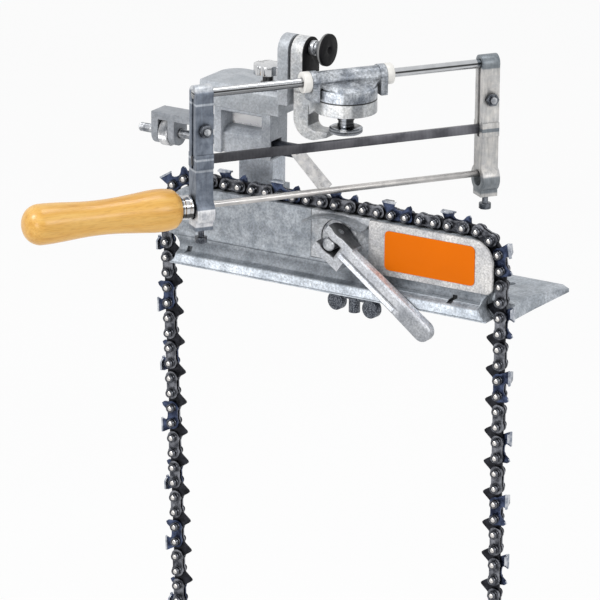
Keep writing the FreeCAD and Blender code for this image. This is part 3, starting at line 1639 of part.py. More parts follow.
def write_parts():
    """Check every object, then write one file for each sub-part."""
    doc.recompute()
    for item in doc.Objects:
        bad = [word for word in item.State if word in ("Invalid", "Error")]
        if bad:
            raise RuntimeError("%s is %s" % (item.Name, bad))
    for part in PARTS:
        if part.Shape.isNull() or not part.Shape.isValid() or not part.Shape.Solids:
            raise RuntimeError("%s has no sound shape" % part.Label)
    for part in PARTS:
        part.Shape.exportStep("parts/%s.step" % part.Label)
        print(part.Label, len(part.Shape.Solids), round(part.Shape.Volume, 1))


os.makedirs("parts", exist_ok=True)
base_casting()
guide_plate()
label_plate()
guide_plate_screws()
clamp_jaw()
cam_washer()
clamp_bolt()
clamp_bolt_nut()
clamp_lever()
lever_pin()
wing_screw()
column_casting()
column_bolts()
adjusting_wheel()
adjusting_screw()
stop_tongue()
pawl_pin()
stop_pawl()
top_block()
star_knob()
tilt_bolt()
friction_plate()
tilt_knob()
swing_arm()
swivel_head()
swivel_spindle()
swivel_nut()
bush("left_bush", -1)
bush("right_bush", 1)
for side, span in arm_spans().items():
    file_arm(side + "_frame_arm", span)
frame_bolts()
file_screws()
guide_rod()
flat_file()
round_file()
ferrule()
handle()
CHAIN_SPOTS = chain_spots()
saw_chain()
write_parts()
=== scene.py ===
import json
import math

import bmesh
import bpy
from mathutils import Matrix, Vector

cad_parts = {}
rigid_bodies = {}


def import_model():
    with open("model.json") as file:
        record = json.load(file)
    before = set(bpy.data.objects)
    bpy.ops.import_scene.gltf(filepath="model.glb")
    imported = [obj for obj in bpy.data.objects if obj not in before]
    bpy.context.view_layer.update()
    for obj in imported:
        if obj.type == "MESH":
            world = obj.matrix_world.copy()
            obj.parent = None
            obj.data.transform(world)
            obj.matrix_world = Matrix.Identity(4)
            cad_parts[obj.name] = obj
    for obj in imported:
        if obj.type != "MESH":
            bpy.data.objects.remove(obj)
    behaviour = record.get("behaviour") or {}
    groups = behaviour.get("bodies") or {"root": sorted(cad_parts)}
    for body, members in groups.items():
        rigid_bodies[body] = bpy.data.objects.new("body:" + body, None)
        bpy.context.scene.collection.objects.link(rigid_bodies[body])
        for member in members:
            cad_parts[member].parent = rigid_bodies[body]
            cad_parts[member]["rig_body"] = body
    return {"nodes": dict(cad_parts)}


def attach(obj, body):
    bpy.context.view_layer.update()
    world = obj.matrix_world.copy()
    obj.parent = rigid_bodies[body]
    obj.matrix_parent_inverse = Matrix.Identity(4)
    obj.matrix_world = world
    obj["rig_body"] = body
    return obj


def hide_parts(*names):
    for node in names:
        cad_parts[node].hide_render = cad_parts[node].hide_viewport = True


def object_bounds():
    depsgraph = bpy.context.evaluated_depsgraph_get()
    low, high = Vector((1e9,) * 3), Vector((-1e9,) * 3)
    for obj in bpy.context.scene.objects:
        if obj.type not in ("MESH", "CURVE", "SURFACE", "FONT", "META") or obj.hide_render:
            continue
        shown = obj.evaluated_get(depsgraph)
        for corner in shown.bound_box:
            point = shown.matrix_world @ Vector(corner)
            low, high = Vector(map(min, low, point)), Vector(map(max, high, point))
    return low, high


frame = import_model()
cad_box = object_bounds()

# The guide's own frame has its zero on the rivet line of the chain, and all sizes
# below are in millimetres there. The row frame starts at the bench bolts.
GUIDE_ZERO = Vector((-0.0063, -0.0407, 0.053))
AZIMUTH, ELEVATION, ROLL = (math.radians(angle) for angle in (31.0, 17.9, 0.6))
FILE_TURN = (0, 0, math.radians(55.0))
LEVER_TURN = (0, math.radians(36.5), 0)
# The swivel axis along the rail, the axis of the round file, the axis of the threaded rod
# of the chain stop, and the lever's pin
HEAD_X = -3.5
FILE_HEIGHT = 10.0
STOP_ROD_HEIGHT = 25.8
LEVER_PIN = (-3.3, -12, -19.4)


def guide_point(x, y, z):
    """A point of the guide's frame, in millimetres, as a point of the row frame in metres."""
    return GUIDE_ZERO + Vector((x, y, z)) / 1000


def linear(*colour):
    """Scene colour of a display colour given as three numbers up to 255."""
    parts = []
    for value in colour:
        share = value / 255
        parts.append(share / 12.92 if share <= 0.04045 else ((share + 0.055) / 1.055) ** 2.4)
    return (*parts, 1.0)


def darkened(colour, share):
    """A colour with a share of its light taken away."""
    return (*(value * (1 - share) for value in colour[:3]), 1.0)


def new_object(name, data):
    """A new object, linked into the scene."""
    made = bpy.data.objects.new(name, data)
    bpy.context.scene.collection.objects.link(made)
    return made


# Materials

# Length of one wave of Blender's band texture at a scale of 1, in metres
WAVE_LENGTH = 0.31416


class Look:
    """A material under construction: short names for its nodes and links."""

    def __init__(self, name):
        self.material = bpy.data.materials.new(name)
        self.material.use_nodes = True
        self.tree = self.material.node_tree
        self.shader = self.tree.nodes["Principled BSDF"]
        self.place = self.node("ShaderNodeTexCoord").outputs["Object"]

    def node(self, kind, **settings):
        """A new node with its properties set."""
        made = self.tree.nodes.new(kind)
        for name, value in settings.items():
            setattr(made, name, value)
        return made

    def join(self, start, end):
        self.tree.links.new(start, end)

    def set(self, socket, value):
        """Gives a socket of the shader one value for the whole surface."""
        self.shader.inputs[socket].default_value = value

    def feed(self, socket, value):
        """Links a pattern to a socket of the shader."""
        self.join(value, self.shader.inputs[socket])

    def mapped(self, centre=(0, 0, 0), size=(1, 1, 1), turn=(0, 0, 0)):
        """Object coordinates moved to a centre, turned and divided by a size."""
        mapping = self.node("ShaderNodeMapping", vector_type="TEXTURE")
        mapping.inputs["Location"].default_value = centre
        mapping.inputs["Rotation"].default_value = turn
        mapping.inputs["Scale"].default_value = size
        self.join(self.place, mapping.inputs["Vector"])
        return mapping.outputs["Vector"]

    def stretched(self, scale, turn=(0, 0, 0)):
        """Object coordinates turned, then multiplied by a scale on each axis."""
        return self.mapped(size=[1 / number for number in scale], turn=turn)

    def larger(self, first, second):
        """The larger of two numbers."""
        made = self.node("ShaderNodeMath", operation="MAXIMUM")
        self.join(first, made.inputs[0])
        self.join(second, made.inputs[1])
        return made.outputs[0]

    def zone(self, centre, half, soft=0.12, turn=(0, 0, 0)):
        """1 inside a box given in the guide's millimetres, fading to 0 outside it."""
        shifted = self.mapped(guide_point(*centre), [number / 1000 for number in half], turn)
        size = self.node("ShaderNodeVectorMath", operation="ABSOLUTE")
        self.join(shifted, size.inputs[0])
        parts = self.node("ShaderNodeSeparateXYZ")
        self.join(size.outputs[0], parts.inputs[0])
        x, y, z = parts.outputs
        return self.remap(self.larger(self.larger(x, y), z), 1 + soft, 1 - soft, 0, 1)

    def noise(self, scale, detail=4.0, rough=0.6, vector=None):
        """A cloudy pattern; scale is how many clouds lie on a metre."""
        made = self.node("ShaderNodeTexNoise")
        made.inputs["Scale"].default_value = scale
        made.inputs["Detail"].default_value = detail
        made.inputs["Roughness"].default_value = rough
        self.join(vector or self.place, made.inputs["Vector"])
        return made.outputs["Fac"]

    def ramp(self, factor, *stops):
        """A colour ramp with (position, colour) stops."""
        made = self.node("ShaderNodeValToRGB")
        elements = made.color_ramp.elements
        for index, (position, colour) in enumerate(stops):
            element = elements[index] if index < 2 else elements.new(position)
            element.position = position
            element.color = colour
        self.join(factor, made.inputs["Fac"])
        return made.outputs["Color"]

    def mix(self, factor, low, high, blend="MIX"):
        """Mixes two colours; each may be a socket or a colour, the factor a socket or number."""
        made = self.node("ShaderNodeMix", data_type="RGBA", blend_type=blend)
        for value, socket in ((factor, made.inputs[0]), (low, made.inputs[6]),
                              (high, made.inputs[7])):
            if isinstance(value, bpy.types.NodeSocket):
                self.join(value, socket)
            else:
                socket.default_value = value
        return made.outputs[2]

    def times(self, first, second):
        """Multiplies one colour by another."""
        return self.mix(1.0, first, second, "MULTIPLY")

    def remap(self, value, start, end, low, high):
        """Stretches the span from start to end over low to high and clips the rest."""
        made = self.node("ShaderNodeMapRange")
        for name, number in (("From Min", start), ("From Max", end), ("To Min", low),
                             ("To Max", high)):
            made.inputs[name].default_value = number
        self.join(value, made.inputs["Value"])
        return made.outputs["Result"]

    def spread(self, factor, low, high):
        """A noise stretched between two numbers."""
        return self.remap(factor, 0.3, 0.7, low, high)

    def paint(self, tone, corner_shade=0.6, reach=0.0025):
        """Sends a colour to the shader, with painted shade that darkens it in corners and narrow
        gaps.
        """
        gap = self.node("ShaderNodeAmbientOcclusion", samples=6)
        gap.inputs["Distance"].default_value = reach
        depth = self.remap(gap.outputs["AO"], 0.30, 0.85, 1 - corner_shade, 1)
        self.feed("Base Color", self.times(tone, depth))

    def tint(self, tone, patches):
        """Lays patches over a colour, most of them painted light and shade; each is (place of a
        zone, colour to multiply with).
        """
        for place, colour in patches:
            tone = self.mix(self.zone(*place), tone, self.times(tone, colour))
        return tone

    def bump(self, height, strength, distance=0.0002):
        """Raises the surface by a pattern, without changing the mesh."""
        made = self.node("ShaderNodeBump")
        made.inputs["Strength"].default_value = strength
        made.inputs["Distance"].default_value = distance
        self.join(height, made.inputs["Height"])
        self.feed("Normal", made.outputs["Normal"])


def shade(level, blue=0.0):
    """A grey to multiply with; blue cools it a little."""
    return (level * (1 - blue), level, level * (1 + blue), 1)


def cast_metal(name, dark, light, metallic=0.35, roughness=(0.44, 0.62), patches=(), speck=0.3):
    """Cast aluminium: mottled, with a fine sandy speckle and a broken sheen."""
    look = Look(name)
    cloud = look.noise(110, 3)
    mottle = look.noise(780, 3, 0.7)
    grain = look.noise(1700, 3, 0.7)
    tone = look.ramp(cloud, (0.36, dark), (0.64, light))
    specks = look.ramp(mottle, (0.34, shade(1 - speck)), (0.50, shade(1.0)),
                       (0.66, shade(1 + speck)))
    tone = look.times(tone, specks)
    tone = look.tint(tone, patches)
    look.paint(tone, 0.8)
    look.feed("Roughness", look.spread(mottle, *roughness))
    look.set("Metallic", metallic)
    look.bump(grain, 0.3)
    return look.material


def brushed_metal(name, dark, light, stroke, turn=(0, 0, 0), metallic=0.75,
                  roughness=(0.26, 0.42), patches=(), corner_shade=0.7):
    """Ground or plated metal with fine strokes; stroke scales the noise on each axis."""
    look = Look(name)
    lines = look.noise(1, 5, 0.6, look.stretched(stroke, turn))
    cloud = look.noise(240, 3)
    tone = look.ramp(cloud, (0.36, dark), (0.64, light))
    line_tone = look.ramp(lines, (0.34, shade(0.78)), (0.62, shade(1.06)))
    tone = look.times(tone, line_tone)
    tone = look.tint(tone, patches)
    look.paint(tone, corner_shade)
    look.feed("Roughness", look.spread(lines, *roughness))
    look.set("Metallic", metallic)
    look.bump(lines, 0.1)
    return look.material


def polished_metal(name, colour, roughness=0.12, corner_shade=0.6, patches=()):
    """Bright steel, a little cloudy in its tone and sheen."""
    look = Look(name)
    cloud = look.noise(160, 3)
    tone = look.ramp(cloud, (0.35, darkened(colour, 0.12)), (0.65, colour))
    tone = look.tint(tone, patches)
    look.paint(tone, corner_shade)
    look.feed("Roughness", look.spread(cloud, roughness * 0.7, roughness * 1.5))
    look.set("Metallic", 1.0)
    return look.material


def file_metal(name, dark, light, depth, pitch=0.0009, patches=()):
    """File steel with rows of slanted teeth across its length."""
    look = Look(name)
    teeth = look.node("ShaderNodeTexWave", wave_type="BANDS", bands_direction="X",
                      wave_profile="SAW")
    teeth.inputs["Scale"].default_value = WAVE_LENGTH / pitch
    teeth.inputs["Distortion"].default_value = 0.4
    look.join(look.stretched((1, 0.35, 0.6), FILE_TURN), teeth.inputs["Vector"])
    cloud = look.noise(70, 3)
    tone = look.ramp(cloud, (0.35, dark), (0.65, light))
    tooth_tone = look.ramp(teeth.outputs["Fac"], (0.15, shade(1 - depth)), (0.7, shade(1.0)))
    tone = look.tint(tone, patches)
    look.paint(look.times(tone, tooth_tone), 0.5)
    look.feed("Roughness", look.spread(cloud, 0.28, 0.42))
    look.set("Metallic", 0.8)
    look.bump(teeth.outputs["Fac"], depth, 0.0002)
    return look.material


def knurled_metal(name, dark, light):
    """Rough diamond-cut steel, as on the ears of the wing screw."""
    look = Look(name)
    cells = look.node("ShaderNodeTexVoronoi", feature="F1")
    cells.inputs["Scale"].default_value = 1100
    look.join(look.place, cells.inputs["Vector"])
    tone = look.ramp(cells.outputs["Distance"], (0.15, light), (0.65, dark))
    look.paint(tone, 0.5)
    look.feed("Roughness", look.spread(look.noise(300), 0.35, 0.5))
    look.set("Metallic", 0.7)
    look.bump(cells.outputs["Distance"], 0.6, 0.0003)
    return look.material


def varnished_wood():
    """Honey-coloured beech under a clear varnish, its grain along the handle."""
    look = Look("handle_wood")
    grain = look.noise(1, 6, 0.6, look.stretched((14, 220, 220), FILE_TURN))
    pores = look.noise(1, 2, 0.5, look.stretched((140, 1500, 1500), FILE_TURN))
    tone = look.ramp(grain, (0.28, linear(206, 146, 52)), (0.50, linear(225, 172, 80)),
                     (0.74, linear(236, 190, 106)))
    pore_tone = look.ramp(pores, (0.36, (0.84, 0.78, 0.68, 1)), (0.50, (1, 1, 1, 1)))
    look.paint(look.mix(0.7, tone, pore_tone, "MULTIPLY"), 0.4)
    look.feed("Roughness", look.spread(grain, 0.30, 0.42))
    look.set("Coat Weight", 0.3)
    look.set("Coat Roughness", 0.2)
    look.bump(pores, 0.08)
    return look.material


def enamel(name, colour, roughness=0.35, speck=0.06, coat=0.2, gloss=0.5, patches=()):
    """Paint or moulded plastic with a faint orange-peel surface."""
    look = Look(name)
    peel = look.noise(700, 3)
    cloud = look.noise(30, 2)
    tone = look.ramp(cloud, (0.35, darkened(colour, speck * 2)), (0.65, colour))
    tone = look.tint(tone, patches)
    look.paint(tone, 0.5)
    look.feed("Roughness", look.spread(peel, roughness * 0.85, roughness * 1.15))
    look.set("Coat Weight", coat)
    look.set("Specular IOR Level", gloss)
    look.bump(peel, speck)
    return look.material


# Patches, most of them painted light and shade (highlights, reflections, shade and shadow): a
# zone (centre, half size, softness, turn) in the guide's millimetres, and the grey that its
# colour is multiplied with

def across(offset, half, height, half_height):
    """An upright slab square to the line of sight, its offset counted to the right; it holds
    painted reflections on turned parts.
    """
    spot = (HEAD_X + offset * math.cos(AZIMUTH), offset * math.sin(AZIMUTH), height)
    return spot, (half, 60, half_height), 0.25, (0, 0, AZIMUTH)


def along_lever(start, end, low, high):
    """A strip of the lever between two distances from its pin."""
    turn = LEVER_TURN[1]
    run, rise = (start + end) / 2, (low + high) / 2
    pin_x, pin_y, pin_z = LEVER_PIN
    spot = (pin_x + run * math.cos(turn) + rise * math.sin(turn), pin_y,
            pin_z - run * math.sin(turn) + rise * math.cos(turn))
    return spot, ((end - start) / 2, 14, (high - low) / 2), 0.12, LEVER_TURN


def along_file(distance, half, height, half_height):
    """A slab square to the file, its distance counted from the swivel axis."""
    spot = (HEAD_X + distance * math.cos(FILE_TURN[2]), distance * math.sin(FILE_TURN[2]), height)
    return spot, (half, 30, half_height), 0.20, FILE_TURN


def level_band(height, half_height, soft, reach=120):
    """A level slab round the swivel axis, as wide and deep as twice its reach."""
    return (HEAD_X, 0, height), (reach, reach, half_height), soft


def node_span(node, axis):
    """Lowest and highest point of a node along an axis of the guide's frame."""
    places = [(corner.co[axis] - GUIDE_ZERO[axis]) * 1000
              for corner in frame["nodes"][node].data.vertices]
    return min(places), max(places)


# Painted light on the back wall of the window, on the column under the box and on the left post;
# painted shade on the right post and on the bracket of the stop rod.
BOX_PATCHES = [
    (((-69.7, 5.2, 40.9), (14.6, 1.2, 4.6), 0.10), (3.1, 2.9, 2.7, 1)),
    (((-72.0, 18.0, 8.0), (17.0, 11.0, 12.5), 0.30), shade(1.75)),
    (((-86.4, -9.0, 33.0), (2.4, 1.0, 13.0), 0.10), shade(1.10)),
    (((-52.8, -9.0, 33.0), (3.0, 1.0, 13.0), 0.10), shade(0.85)),
    (((-118.0, 0, STOP_ROD_HEIGHT), (24.0, 14.0, 16.0), 0.10), shade(0.78)),
]
# Painted shade in the cove under the guide plate, in a thin line below the plate, along the foot
# of the lip and in the peep hole; painted light below the label, in a band above the line, on the
# lip, on the flange top and on the skirt.
BASE_PATCHES = [
    (((-42, -9.0, -41.0), (82, 6.0, 4.0), 0.20), shade(0.62, 0.02)),
    (((72, -9.0, -41.5), (30, 6.0, 4.0), 0.60), shade(1.15)),
    (((-50, -6.2, -35.2), (68, 1.2, 0.4), 0.30), shade(0.55, 0.02)),
    (((-50, -6.2, -33.2), (68, 1.2, 1.3), 0.20), shade(1.15)),
    (((0, -12.0, -48.6), (130, 1.6, 3.6), 0.15), shade(2.1)),
    (((0, -12.0, -50.6), (130, 1.6, 0.4), 0.30), shade(0.45, 0.02)),
    (((73.7, -9.0, -42.4), (1.6, 7.0, 1.6), 0.10), shade(0.12)),
    (((0, 36.0, -43.5), (130, 28.0, 1.2), 0.05), shade(1.22)),
    (((103.0, 30.0, -49.5), (14.0, 40.0, 4.8), 0.05), shade(1.35)),
]
# Painted shadow of the lever on the lower left of the guide plate.
PLATE_PATCHES = [
    (((18.0, -8.2, -33.0), (13.0, 4.0, 11.0), 0.45), shade(0.55, 0.02)),
]
# Painted shade on the brow of the clamp jaw.
JAW_PATCHES = [
    (((-4.0, -9.6, -8.0), (24.0, 3.0, 5.0), 0.15), shade(0.50, 0.02)),
]
# Painted light and shade on the lever: a painted highlight along the rib with painted shade lines
# beside it, a painted highlight along one edge, a darker tip, and painted shade on the top face
# of the head and round its pin.
LEVER_PATCHES = [
    (along_lever(10, 56, 1.6, 2.6), shade(0.50)),
    (along_lever(9, 55, -1.1, 1.5), shade(2.0)),
    (along_lever(10, 56, -2.2, -1.2), shade(0.50)),
    (along_lever(14, 84, 7.0, 9.4), shade(1.30)),
    (along_lever(58, 84, -4, 7), shade(0.66, 0.01)),
    (along_lever(58, 84, 7, 8.4), shade(0.80)),
    (along_lever(-12, 14.5, 9.2, 10.0), shade(0.18)),
    (along_lever(-12, 7.5, -4.6, 4.6), shade(0.15)),
]
# Painted reflections on the turned head: a light zone and a dark streak across both discs and a
# light zone high on the right; painted shade in the seam between the discs and in a thin line
# round the barrel.
HEAD_PATCHES = [
    (across(-8.0, 5.5, 62.0, 10.2), shade(2.3)),
    (across(6.4, 3.0, 62.0, 10.2), shade(0.72, 0.02)),
    (across(14.0, 4.0, 75.0, 3.0), shade(1.5)),
    (level_band(65.65, 0.45, 0.30, 30), shade(0.12)),
    (((HEAD_X, 0, 77.2), (18, 30, 0.35), 0.50), shade(0.50, 0.02)),
]
# Painted reflections on the disc of the swing arm, a light zone and dark streaks across it;
# painted shade where the web meets the disc, on the inner face of the band and in the seam.
ARM_PATCHES = [
    (across(-8.0, 5.5, 61.5, 4.2), shade(1.55)),
    (across(-17.5, 3.0, 61.5, 4.2), shade(0.55, 0.03)),
    (across(6.4, 3.4, 61.5, 4.2), shade(0.50, 0.02)),
    (((node_span("swing_arm", 0)[0] + 10.8, 0, 52.0), (0.35, 7, 6.5), 0.20), shade(0.30)),
    (across(13.5, 3.4, 61.5, 4.2), shade(0.80, 0.02)),
    (level_band(65.65, 0.45, 0.30, 30), shade(0.12)),
]
# Painted reflections on the swivel nut: a near-black neck with one bright stripe, and a dark line
# round the rim.
NUT_PATCHES = [
    (level_band(50.8, 3.0, 0.05, 7), shade(0.12)),
    (across(-1.5, 1.5, 50.8, 3.2), shade(12.0)),
    (level_band(46.2, 0.5, 0.20, 12), shade(0.45)),
]
# Painted reflections on the guide rod: a dark band along it just above its axis and a darker
# lower part on its left half.
ROD_PATCHES = [
    (((0, 0, 77.9), (120, 120, 0.55), 0.30), shade(0.10)),
    (((-60, -80, 75.9), (62, 86, 1.2), 0.10), shade(0.40)),
]
# Painted reflections on the ferrule: two dark rings across it and dark bands below and above its
# axis.
FERRULE_PATCHES = [
    (along_file(-105.4, 0.7, 10, 12), shade(0.30)),
    (along_file(-98.2, 0.6, 10, 12), shade(0.15)),
    (level_band(6.6, 1.5, 0.20, 200), shade(0.12)),
    (level_band(11.8, 0.7, 0.30, 200), shade(0.25)),
]
# Painted highlights on the left frame arm: bright lines at the edges of the file boss and on the
# eye, a lighter top and a lighter lower boss.
ARM_LEFT_PATCHES = [
    (level_band(38.9, 0.6, 0.50), (2.9, 2.7, 2.4, 1)),
    (level_band(32.1, 0.6, 0.50), (2.7, 2.5, 2.2, 1)),
    (level_band(71.7, 0.6, 0.50), (3.0, 2.8, 2.5, 1)),
    (level_band(82.0, 2.6, 0.30), (3.2, 2.9, 2.5, 1)),
    (level_band(4.0, 5.5, 0.05), (4.0, 3.5, 2.95, 1)),
]
# Darker bluish bands on the right frame arm, at the file boss, over the top of the eye and on the
# lower boss.
ARM_RIGHT_PATCHES = [
    (level_band(37.3, 1.1, 0.15), shade(0.42, 0.12)),
    (level_band(79.3, 4.5, 0.10), shade(0.42, 0.12)),
    (level_band(3.8, 5.4, 0.10), shade(0.45, 0.10)),
]
# Painted light on the right part of the flat file, which is otherwise dark steel.
FLAT_FILE_PATCHES = [
    (((55, 85, 40), (62, 92, 12), 0.40), shade(2.6)),
]
# The neck under the star knob darkened to near black.
STAR_PATCHES = [
    (((-57.0, 0, node_span("star_knob", 2)[1] - 9.5), (12, 12, 3.5), 0.05), shade(0.08)),
]
# A painted highlight on the rim of the black tilt knob.
KNOB_PATCHES = [
    (((node_span("tilt_knob", 0)[1] - 2.1, 0, 60), (0.6, 20, 60), 0.30), (70, 70, 54, 1)),
]


def materials():
    """Every look, by the name that the dressing list uses."""
    fine = (700, 700, 700)
    upright = (900, 900, 90)
    return {
        "base": cast_metal("cast_base", linear(134, 140, 147), linear(166, 171, 177),
                           patches=BASE_PATCHES),
        "box": cast_metal("cast_box", linear(152, 157, 164), linear(176, 180, 186), speck=0.2,
                          patches=BOX_PATCHES),
        "cast": cast_metal("cast_head", linear(160, 165, 171), linear(180, 184, 189), speck=0.2),
        "arm": cast_metal("cast_arm", linear(178, 181, 185), linear(210, 210, 209), speck=0.28,
                          patches=ARM_PATCHES),
        "jaw": cast_metal("cast_jaw", linear(150, 155, 162), linear(200, 202, 205),
                          patches=JAW_PATCHES),
        "plate": cast_metal("cast_plate", linear(184, 184, 186), linear(216, 214, 212),
                            patches=PLATE_PATCHES),
        "lever": cast_metal("lever_metal", linear(176, 179, 185), linear(202, 204, 208),
                            0.5, (0.32, 0.46), LEVER_PATCHES),
        "turned": cast_metal("turned_metal", linear(116, 122, 131), linear(180, 184, 189), 0.4,
                             (0.3, 0.45), HEAD_PATCHES, 0.42),
        "wheel": brushed_metal("wheel_metal", linear(168, 171, 176), linear(226, 226, 227),
                               (2400, 90, 90)),
        # The two frame arms are the same plated steel; the left arm's darker copy is painted
        # shade and the right arm's lighter copy is painted light.
        "arm_left": brushed_metal("plated_painted_shade", linear(98, 106, 119), linear(124, 132, 144),
                                  upright, metallic=0.5, roughness=(0.36, 0.5),
                                  patches=ARM_LEFT_PATCHES),
        "arm_right": brushed_metal("plated_painted_light", linear(186, 186, 186), linear(212, 209, 205),
                                   upright, metallic=0.5, roughness=(0.34, 0.48),
                                   patches=ARM_RIGHT_PATCHES),
        "plated": brushed_metal("plated_small", linear(120, 124, 131), linear(208, 210, 213),
                                fine),
        "dull": brushed_metal("plated_dull", linear(50, 54, 62), linear(128, 132, 139), fine),
        "strip": brushed_metal("spring_strip", linear(196, 196, 198), linear(232, 230, 228),
                               (200, 1200, 200), metallic=0.5),
        "tongue": brushed_metal("tongue_steel", linear(34, 37, 44), linear(78, 82, 92),
                                (200, 900, 200)),
        "chrome": polished_metal("polished_steel", linear(176, 178, 182), 0.09),
        "rod": polished_metal("rod_steel", linear(196, 198, 201), 0.12, patches=ROD_PATCHES),
        "bright_chrome": polished_metal("knob_steel", linear(206, 207, 209), 0.16,
                                        patches=STAR_PATCHES),
        "ferrule": polished_metal("ferrule_steel", linear(206, 206, 207), 0.14,
                                  patches=FERRULE_PATCHES),
        "dark_chrome": polished_metal("nut_steel", linear(156, 160, 166), 0.2, 0.8, NUT_PATCHES),
        "file_flat": file_metal("file_flat", linear(54, 54, 58), linear(80, 80, 84), 0.35,
                                patches=FLAT_FILE_PATCHES),
        "file_round": file_metal("file_round", linear(180, 178, 177), linear(214, 211, 208),
                                 0.16, 0.0007),
        "link": brushed_metal("link_steel", linear(58, 60, 67), linear(140, 142, 149), fine,
                              roughness=(0.24, 0.36), corner_shade=0.9),
        "tang": brushed_metal("tang_steel", linear(18, 19, 24), linear(46, 47, 54), fine,
                              roughness=(0.3, 0.45), corner_shade=0.8),
        "cutter": brushed_metal("cutter_steel", linear(26, 34, 56), linear(78, 90, 120), fine,
                                roughness=(0.2, 0.35), corner_shade=0.8),
        "top_plate": brushed_metal("cutter_chrome", linear(132, 140, 154), linear(206, 209, 215),
                                   fine, metallic=0.9, roughness=(0.14, 0.26)),
        "rivet": polished_metal("rivet_steel", linear(214, 211, 208), 0.25, 0.3),
        "rivet_rim": polished_metal("rivet_rim_painted_shade", linear(96, 98, 104), 0.3, 0.9),
        "knurled": knurled_metal("knurled_steel", linear(58, 62, 70), linear(134, 139, 147)),
        "black": enamel("black_plastic", linear(12, 12, 15), 0.5, coat=0.0, gloss=0.12,
                        patches=KNOB_PATCHES),
        "nylon": enamel("white_nylon", linear(238, 236, 231), 0.4, 0.03),
        "label": enamel("orange_enamel", linear(226, 110, 0), 0.6, 0.015, 0.0, 0.1),
        "wood": varnished_wood(),
    }


# Dressing: each solid gets rounded edges and a finish, and stays where it is

DRESSING = {
    "base_casting": ("base", 0.9),
    "column_casting": ("box", 0.5),
    "top_block": ("cast", 0.7),
    "swing_arm": ("arm", 0.8),
    "swivel_head": ("turned", 0.6),
    "clamp_jaw": ("jaw", 0.35),
    "guide_plate": ("plate", 0.35),
    "label_plate": ("label", 0.12),
    "clamp_lever": ("lever", 0.45),
    "left_frame_arm": ("arm_left", 0.35),
    "right_frame_arm": ("arm_right", 0.35),
    "guide_rod": ("rod", 0.3),
    "flat_file": ("file_flat", 0.25),
    "round_file": ("file_round", 0.1),
    "handle": ("wood", 0.0),
    "left_bush": ("nylon", 0.3),
    "right_bush": ("nylon", 0.3),
    "swivel_spindle": ("plated", 0.2),
    "tilt_knob": ("black", 0.5),
    "tilt_knob_hub": ("plated", 0.3),
    "friction_plate": ("black", 0.2),
    "tilt_bolt": ("plated", 0.3),
    "star_knob": ("bright_chrome", 0.5),
    "star_knob_washer": ("plated", 0.2),
    "stop_tongue": ("tongue", 0.3),
    "stop_pawl": ("strip", 0.2),
    "pawl_pin": ("plated", 0.2),
    "column_bolts": ("plated", 0.3),
    "clamp_bolt": ("plated", 0.3),
    "clamp_nut": ("plated", 0.3),
    "clamp_nut_washer": ("plated", 0.2),
    "cam_washer": ("plated", 0.2),
    "lever_pin": ("plated", 0.2),
    "wing_screw": ("knurled", 0.5),
    "guide_plate_screws": ("plated", 0.3),
    "frame_bolts": ("plated", 0.3),
    "frame_nuts": ("dull", 0.25),
    "file_screws": ("dull", 0.25),
    "chain_drive_links": ("tang", 0.15),
    "chain_tie_straps": ("link", 0.2),
    "chain_cutters_near": ("cutter", 0.15),
    "chain_cutters_far": ("cutter", 0.15),
}

SHARP_ANGLE = math.radians(32)


def stand_in(piece, node):
    """A scene piece takes a node's place and body."""
    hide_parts(node)
    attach(piece, frame["nodes"][node]["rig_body"])


def clean_copy(node):
    """A copy of a node's mesh with shared corners and whole flat faces."""
    mesh = frame["nodes"][node].data.copy()
    mesh.materials.clear()
    work = bmesh.new()
    work.from_mesh(mesh)
    bmesh.ops.remove_doubles(work, verts=work.verts, dist=0.000002)
    bmesh.ops.dissolve_limit(work, angle_limit=math.radians(0.4), verts=work.verts,
                             edges=work.edges)
    work.to_mesh(mesh)
    work.free()
    return mesh


def dressed(node, material, bevel):
    """Rounds the sharp edges of a copy of a node, in millimetres, and gives it a material."""
    piece = new_object(node + "_dressed", clean_copy(node))
    if bevel:
        rounding = piece.modifiers.new("rounding", "BEVEL")
        rounding.width = bevel / 1000
        rounding.segments = 2
        rounding.limit_method = "ANGLE"
        rounding.angle_limit = SHARP_ANGLE
        rounding.use_clamp_overlap = True
        bpy.context.view_layer.update()
        shaped = piece.evaluated_get(bpy.context.evaluated_depsgraph_get())
        piece.data = bpy.data.meshes.new_from_object(shaped)
        piece.modifiers.clear()
    piece.data.polygons.foreach_set("use_smooth", [True] * len(piece.data.polygons))
    piece.data.set_sharp_from_angle(angle=SHARP_ANGLE)
    piece.data.materials.append(material)
    stand_in(piece, node)
    return piece


def saddle_web(piece):
    """Adds the cast web that spreads from the barrel of the head down to the disc's rim."""
    disc_radius, disc_top, disc_steps = 16.6, 72.1, 64
    edge_x, edge_y, edge_z = 19.3, 5.2, 76.6
    place = Matrix.Translation(guide_point(HEAD_X, 0, 0)) @ Matrix.Rotation(FILE_TURN[2], 4, "Z")
    spots = [(x, y, edge_z) for x in (-edge_x, edge_x) for y in (-edge_y, edge_y)]
    for step in range(disc_steps):
        turn = 2 * math.pi * step / disc_steps
        spots.append((disc_radius * math.cos(turn), disc_radius * math.sin(turn), disc_top))
    work = bmesh.new()
    work.from_mesh(piece.data)
    corners = [work.verts.new(place @ (Vector(spot) / 1000)) for spot in spots]
    hull = bmesh.ops.convex_hull(work, input=corners)
    for part in hull["geom"]:
        if isinstance(part, bmesh.types.BMFace):
            part.smooth = True
    work.to_mesh(piece.data)
    work.free()
    piece.data.set_sharp_from_angle(angle=SHARP_ANGLE)


